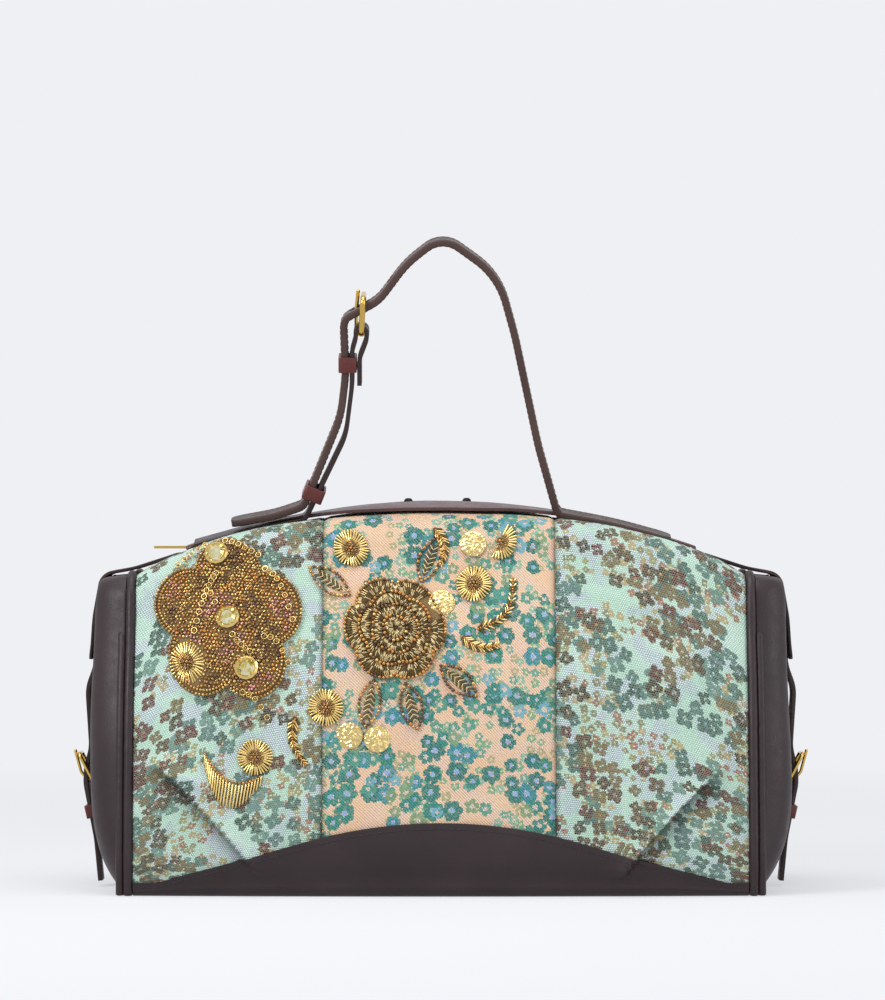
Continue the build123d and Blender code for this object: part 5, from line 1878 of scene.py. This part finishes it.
            self.sew_row(tray, line, 2.2 * MM, (2, 3, 2, 4), lift * MM)
        work = finish_piece("rose_thread_and_beads", tray.bm, [GOLD_THREAD, PALE_GOLD_THREAD, AMBER, GOLD_BEAD, BROWN_BEAD])

    def make_leaves(self) -> None:
        """Pointed leaves outlined in beads, with a vein of slanting thread."""
        tray = Tray()
        for number, (x, z, turn) in enumerate(self.leaves):
            lean = math.radians(turn)
            along, across = (math.cos(lean), math.sin(lean)), (-math.sin(lean), math.cos(lean))

            def spot_on(share: float, off: float) -> tuple[float, float]:
                """A place on the leaf: a share of its length and an offset from its vein."""
                run = self.leaf_length * share
                return (x + along[0] * run + across[0] * off, z + along[1] * run + across[1] * off)

            for side in (-1, 1):
                line = []
                for i in range(25):
                    share = i / 24
                    off = side * self.leaf_width / 2 * math.sin(math.pi * share) ** 0.8
                    line.append(spot_on(share, off))
                self.sew_row(tray, line, 2.2 * MM, (2, 3, 4, 4), 0.2 * MM)
            for i in range(13):
                share = 0.12 + 0.055 * i
                wide = self.leaf_width * 0.26 * math.sin(math.pi * share)
                for side in (-1, 1):
                    self.sew_bugle(tray, spot_on(share, 0.0), spot_on(share + 0.09, side * wide), 0.8 * MM, 0.9 * MM,
                                   0.4 * MM, (number + i) % 2, self.thread)
        piece = finish_piece("beaded_leaves", tray.bm, [GOLD_THREAD, PALE_GOLD_THREAD, AMBER, GOLD_BEAD, BROWN_BEAD])
        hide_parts("rose_leaves")

    def make_sprigs(self) -> None:
        """Curved sprigs of metal thread, like small ferns."""
        tray = Tray()
        sprigs = (((21, 150), (37, 158), (41, 178)), ((-82, 101), (-84, 90), (-76, 74)), ((-4, 207), (2, 198), (-1, 186)),
                  ((12, 146), (22, 140), (33, 141)))
        for start, bend, end in sprigs:
            stem = SmoothLine([start, bend, end]).sample(16) * MM
            for i in range(len(stem) - 1):
                here, ahead = stem[i], stem[i + 1]
                way = (ahead - here) / np.linalg.norm(ahead - here)
                side_way = np.array([-way[1], way[0]])
                reach = 4.6 * MM * (1 - 0.5 * i / len(stem))
                for side in (-1, 1):
                    tip = here + way * reach * 0.8 + side_way * side * reach * 0.7
                    self.sew_bugle(tray, tuple(here), tuple(tip), 1.15 * MM, 0.9 * MM, 0.6 * MM,
                                   0 if i % 3 == 0 else 1, self.bugle)
            self.sew_row(tray, [tuple(p) for p in stem], 1.5 * MM, (2,), 0.8 * MM)
        piece = finish_piece("bugle_sprigs", tray.bm, [GOLD_THREAD, BUGLE_GOLD, AMBER])

    def make_fringe(self) -> None:
        """A bow of beads with a short fringe of bugle beads that lies on the cloth."""
        tray = Tray()
        bow = SmoothLine([(-133, 80), (-124, 68), (-112, 64), (-101, 68)]).sample(22) * MM
        self.sew_row(tray, [tuple(p) for p in bow], 2.0 * MM, (1, 2), 0.6 * MM)
        for i, (x, z) in enumerate(bow):
            lean = 0.25 + 0.5 * i / len(bow)
            reach = (6 + 9 * math.sin(math.pi * i / (len(bow) - 1))) * MM
            tip = (x - reach * math.sin(lean) * 0.3, z - reach)
            self.sew_bugle(tray, (float(x), float(z)), (float(tip[0]), float(tip[1])), 1.2 * MM, 1.2 * MM, 0.9 * MM, 0)
        piece = finish_piece("bead_fringe", tray.bm, [BUGLE_GOLD, BRONZE, AMBER])


@dataclass
class Studio:
    """A wide pale floor that fades into the air round the bag, soft lamps and the camera."""

    camera_distance: float = 2.8
    camera_height: float = 0.2239
    camera_side: float = 0.0009
    lens: float = 173.6
    air_colour: str = "eff0f4"
    floor_reach: float = 9.0
    fill_light: float = 0.45

    def build(self) -> None:
        """Sets the stage."""
        self.floor()
        self.world()
        self.lamp("top_softbox", (-0.1, -0.35, 1.5), (0, 0, 0.1), 1.3, 0.9, 15.0)
        self.lamp("left_key_softbox", (-1.5, -1.3, 1.1), (0, 0, 0.12), 0.6, 0.6, 22.0)
        self.lamp("front_fill_softbox", (0.7, -2.2, 0.5), (0, 0, 0.12), 1.2, 1.2, 5.0)
        self.lamp("right_softbox", (1.5, -0.5, 0.6), (0, 0, 0.12), 0.4, 1.2, 6.0)
        self.camera()
        bpy.context.scene.view_settings.view_transform = "Standard"

    def floor(self) -> None:
        """A wide sheet of pale paper that keeps the bag's shadow and fades into the air round it."""
        bm = bmesh.new()
        bmesh.ops.create_circle(bm, cap_ends=True, segments=96, radius=self.floor_reach)
        mesh = bpy.data.meshes.new("paper_floor")
        bm.to_mesh(mesh)
        bm.free()
        floor = bpy.data.objects.new("paper_floor", mesh)
        bpy.context.scene.collection.objects.link(floor)
        material, tree = new_material("matte_paper")
        place = add_node(tree, "ShaderNodeTexCoord", None, None, "Object")
        tooth = add_node(tree, NOISE, None, {"Vector": place, "Scale": 700.0})
        bump = add_node(tree, BUMP, None, {"Strength": 0.05, "Distance": 0.0002, "Height": tooth})
        paper = add_node(tree, SHADER, None, {"Base Color": hex_colour("e6e7ea"), "Roughness": 0.95,
                                              "Specular IOR Level": 0.1, "Normal": bump})
        glow = add_node(tree, "ShaderNodeEmission", None, {"Color": hex_colour(self.air_colour), "Strength": 1.0})
        reach = add_node(tree, VECTOR, {"operation": "LENGTH"}, {0: place}, "Value")
        fade = add_node(tree, RANGE, None, {0: reach, 1: 0.3, 2: 1.3, 3: 0.6, 4: 1.0})
        share = add_node(tree, MATH, {"operation": "MULTIPLY"}, {0: self.seen(tree), 1: fade})
        close_material(tree, add_node(tree, "ShaderNodeMixShader", None, {0: share, 1: paper, 2: glow}))
        mesh.materials.append(material)

    def seen(self, tree: bpy.types.NodeTree) -> bpy.types.NodeSocket:
        """1 where the camera, a reflection or a clear stone looks, and 0 where light is gathered."""
        path = add_node(tree, "ShaderNodeLightPath", None, None, "Is Camera Ray").node
        shown = add_node(tree, MATH, {"operation": "MAXIMUM"},
                         {0: path.outputs["Is Camera Ray"], 1: path.outputs["Is Glossy Ray"]})
        return add_node(tree, MATH, {"operation": "MAXIMUM"}, {0: shown, 1: path.outputs["Is Transmission Ray"]})

    def world(self) -> None:
        """Even pale air all round: the background, and a soft fill for the lamps."""
        world = bpy.data.worlds.new("studio_air")
        bpy.context.scene.world = world
        world.use_nodes = True
        tree = world.node_tree
        tree.nodes.clear()
        strength = add_node(tree, RANGE, None, {0: self.seen(tree), 3: self.fill_light, 4: 1.0})
        glow = add_node(tree, "ShaderNodeBackground", None, {"Color": hex_colour(self.air_colour), "Strength": strength})
        add_node(tree, "ShaderNodeOutputWorld", inputs={"Surface": glow})

    def lamp(self, name: str, place: tuple[float, float, float], aim: tuple[float, float, float], wide: float,
             high: float, power: float) -> None:
        """One soft rectangular lamp."""
        data = bpy.data.lights.new(name, "AREA")
        data.shape = "RECTANGLE"
        data.size, data.size_y, data.energy = wide, high, power
        lamp = bpy.data.objects.new(name, data)
        lamp.location = place
        lamp.rotation_euler = (Vector(aim) - Vector(place)).to_track_quat("-Z", "Y").to_euler()
        bpy.context.scene.collection.objects.link(lamp)

    def camera(self) -> None:
        """A long lens, level, straight in front of the bag."""
        data = bpy.data.cameras.new("camera")
        data.lens = self.lens
        data.sensor_width = 36
        data.clip_end = 50
        camera = bpy.data.objects.new("camera", data)
        camera.location = (self.camera_side, -self.camera_distance, self.camera_height)
        camera.rotation_euler = (math.pi / 2, 0, 0)
        bpy.context.scene.collection.objects.link(camera)
        bpy.context.scene.camera = camera


def main() -> None:
    """Builds the bag in order: stage, walls, leather, metal and beadwork."""
    logging.basicConfig(level=logging.INFO, format="%(name)s: %(message)s")
    for part in (Studio(), TapestryWalls(), LeatherBase(), Gussets(), ZipTop(), Handle(), EndBelts(), CarriedOver(),
                 Beadwork()):
        part.build()
        log.info("finished %s", type(part).__name__)


if __name__ == "__main__":
    main()
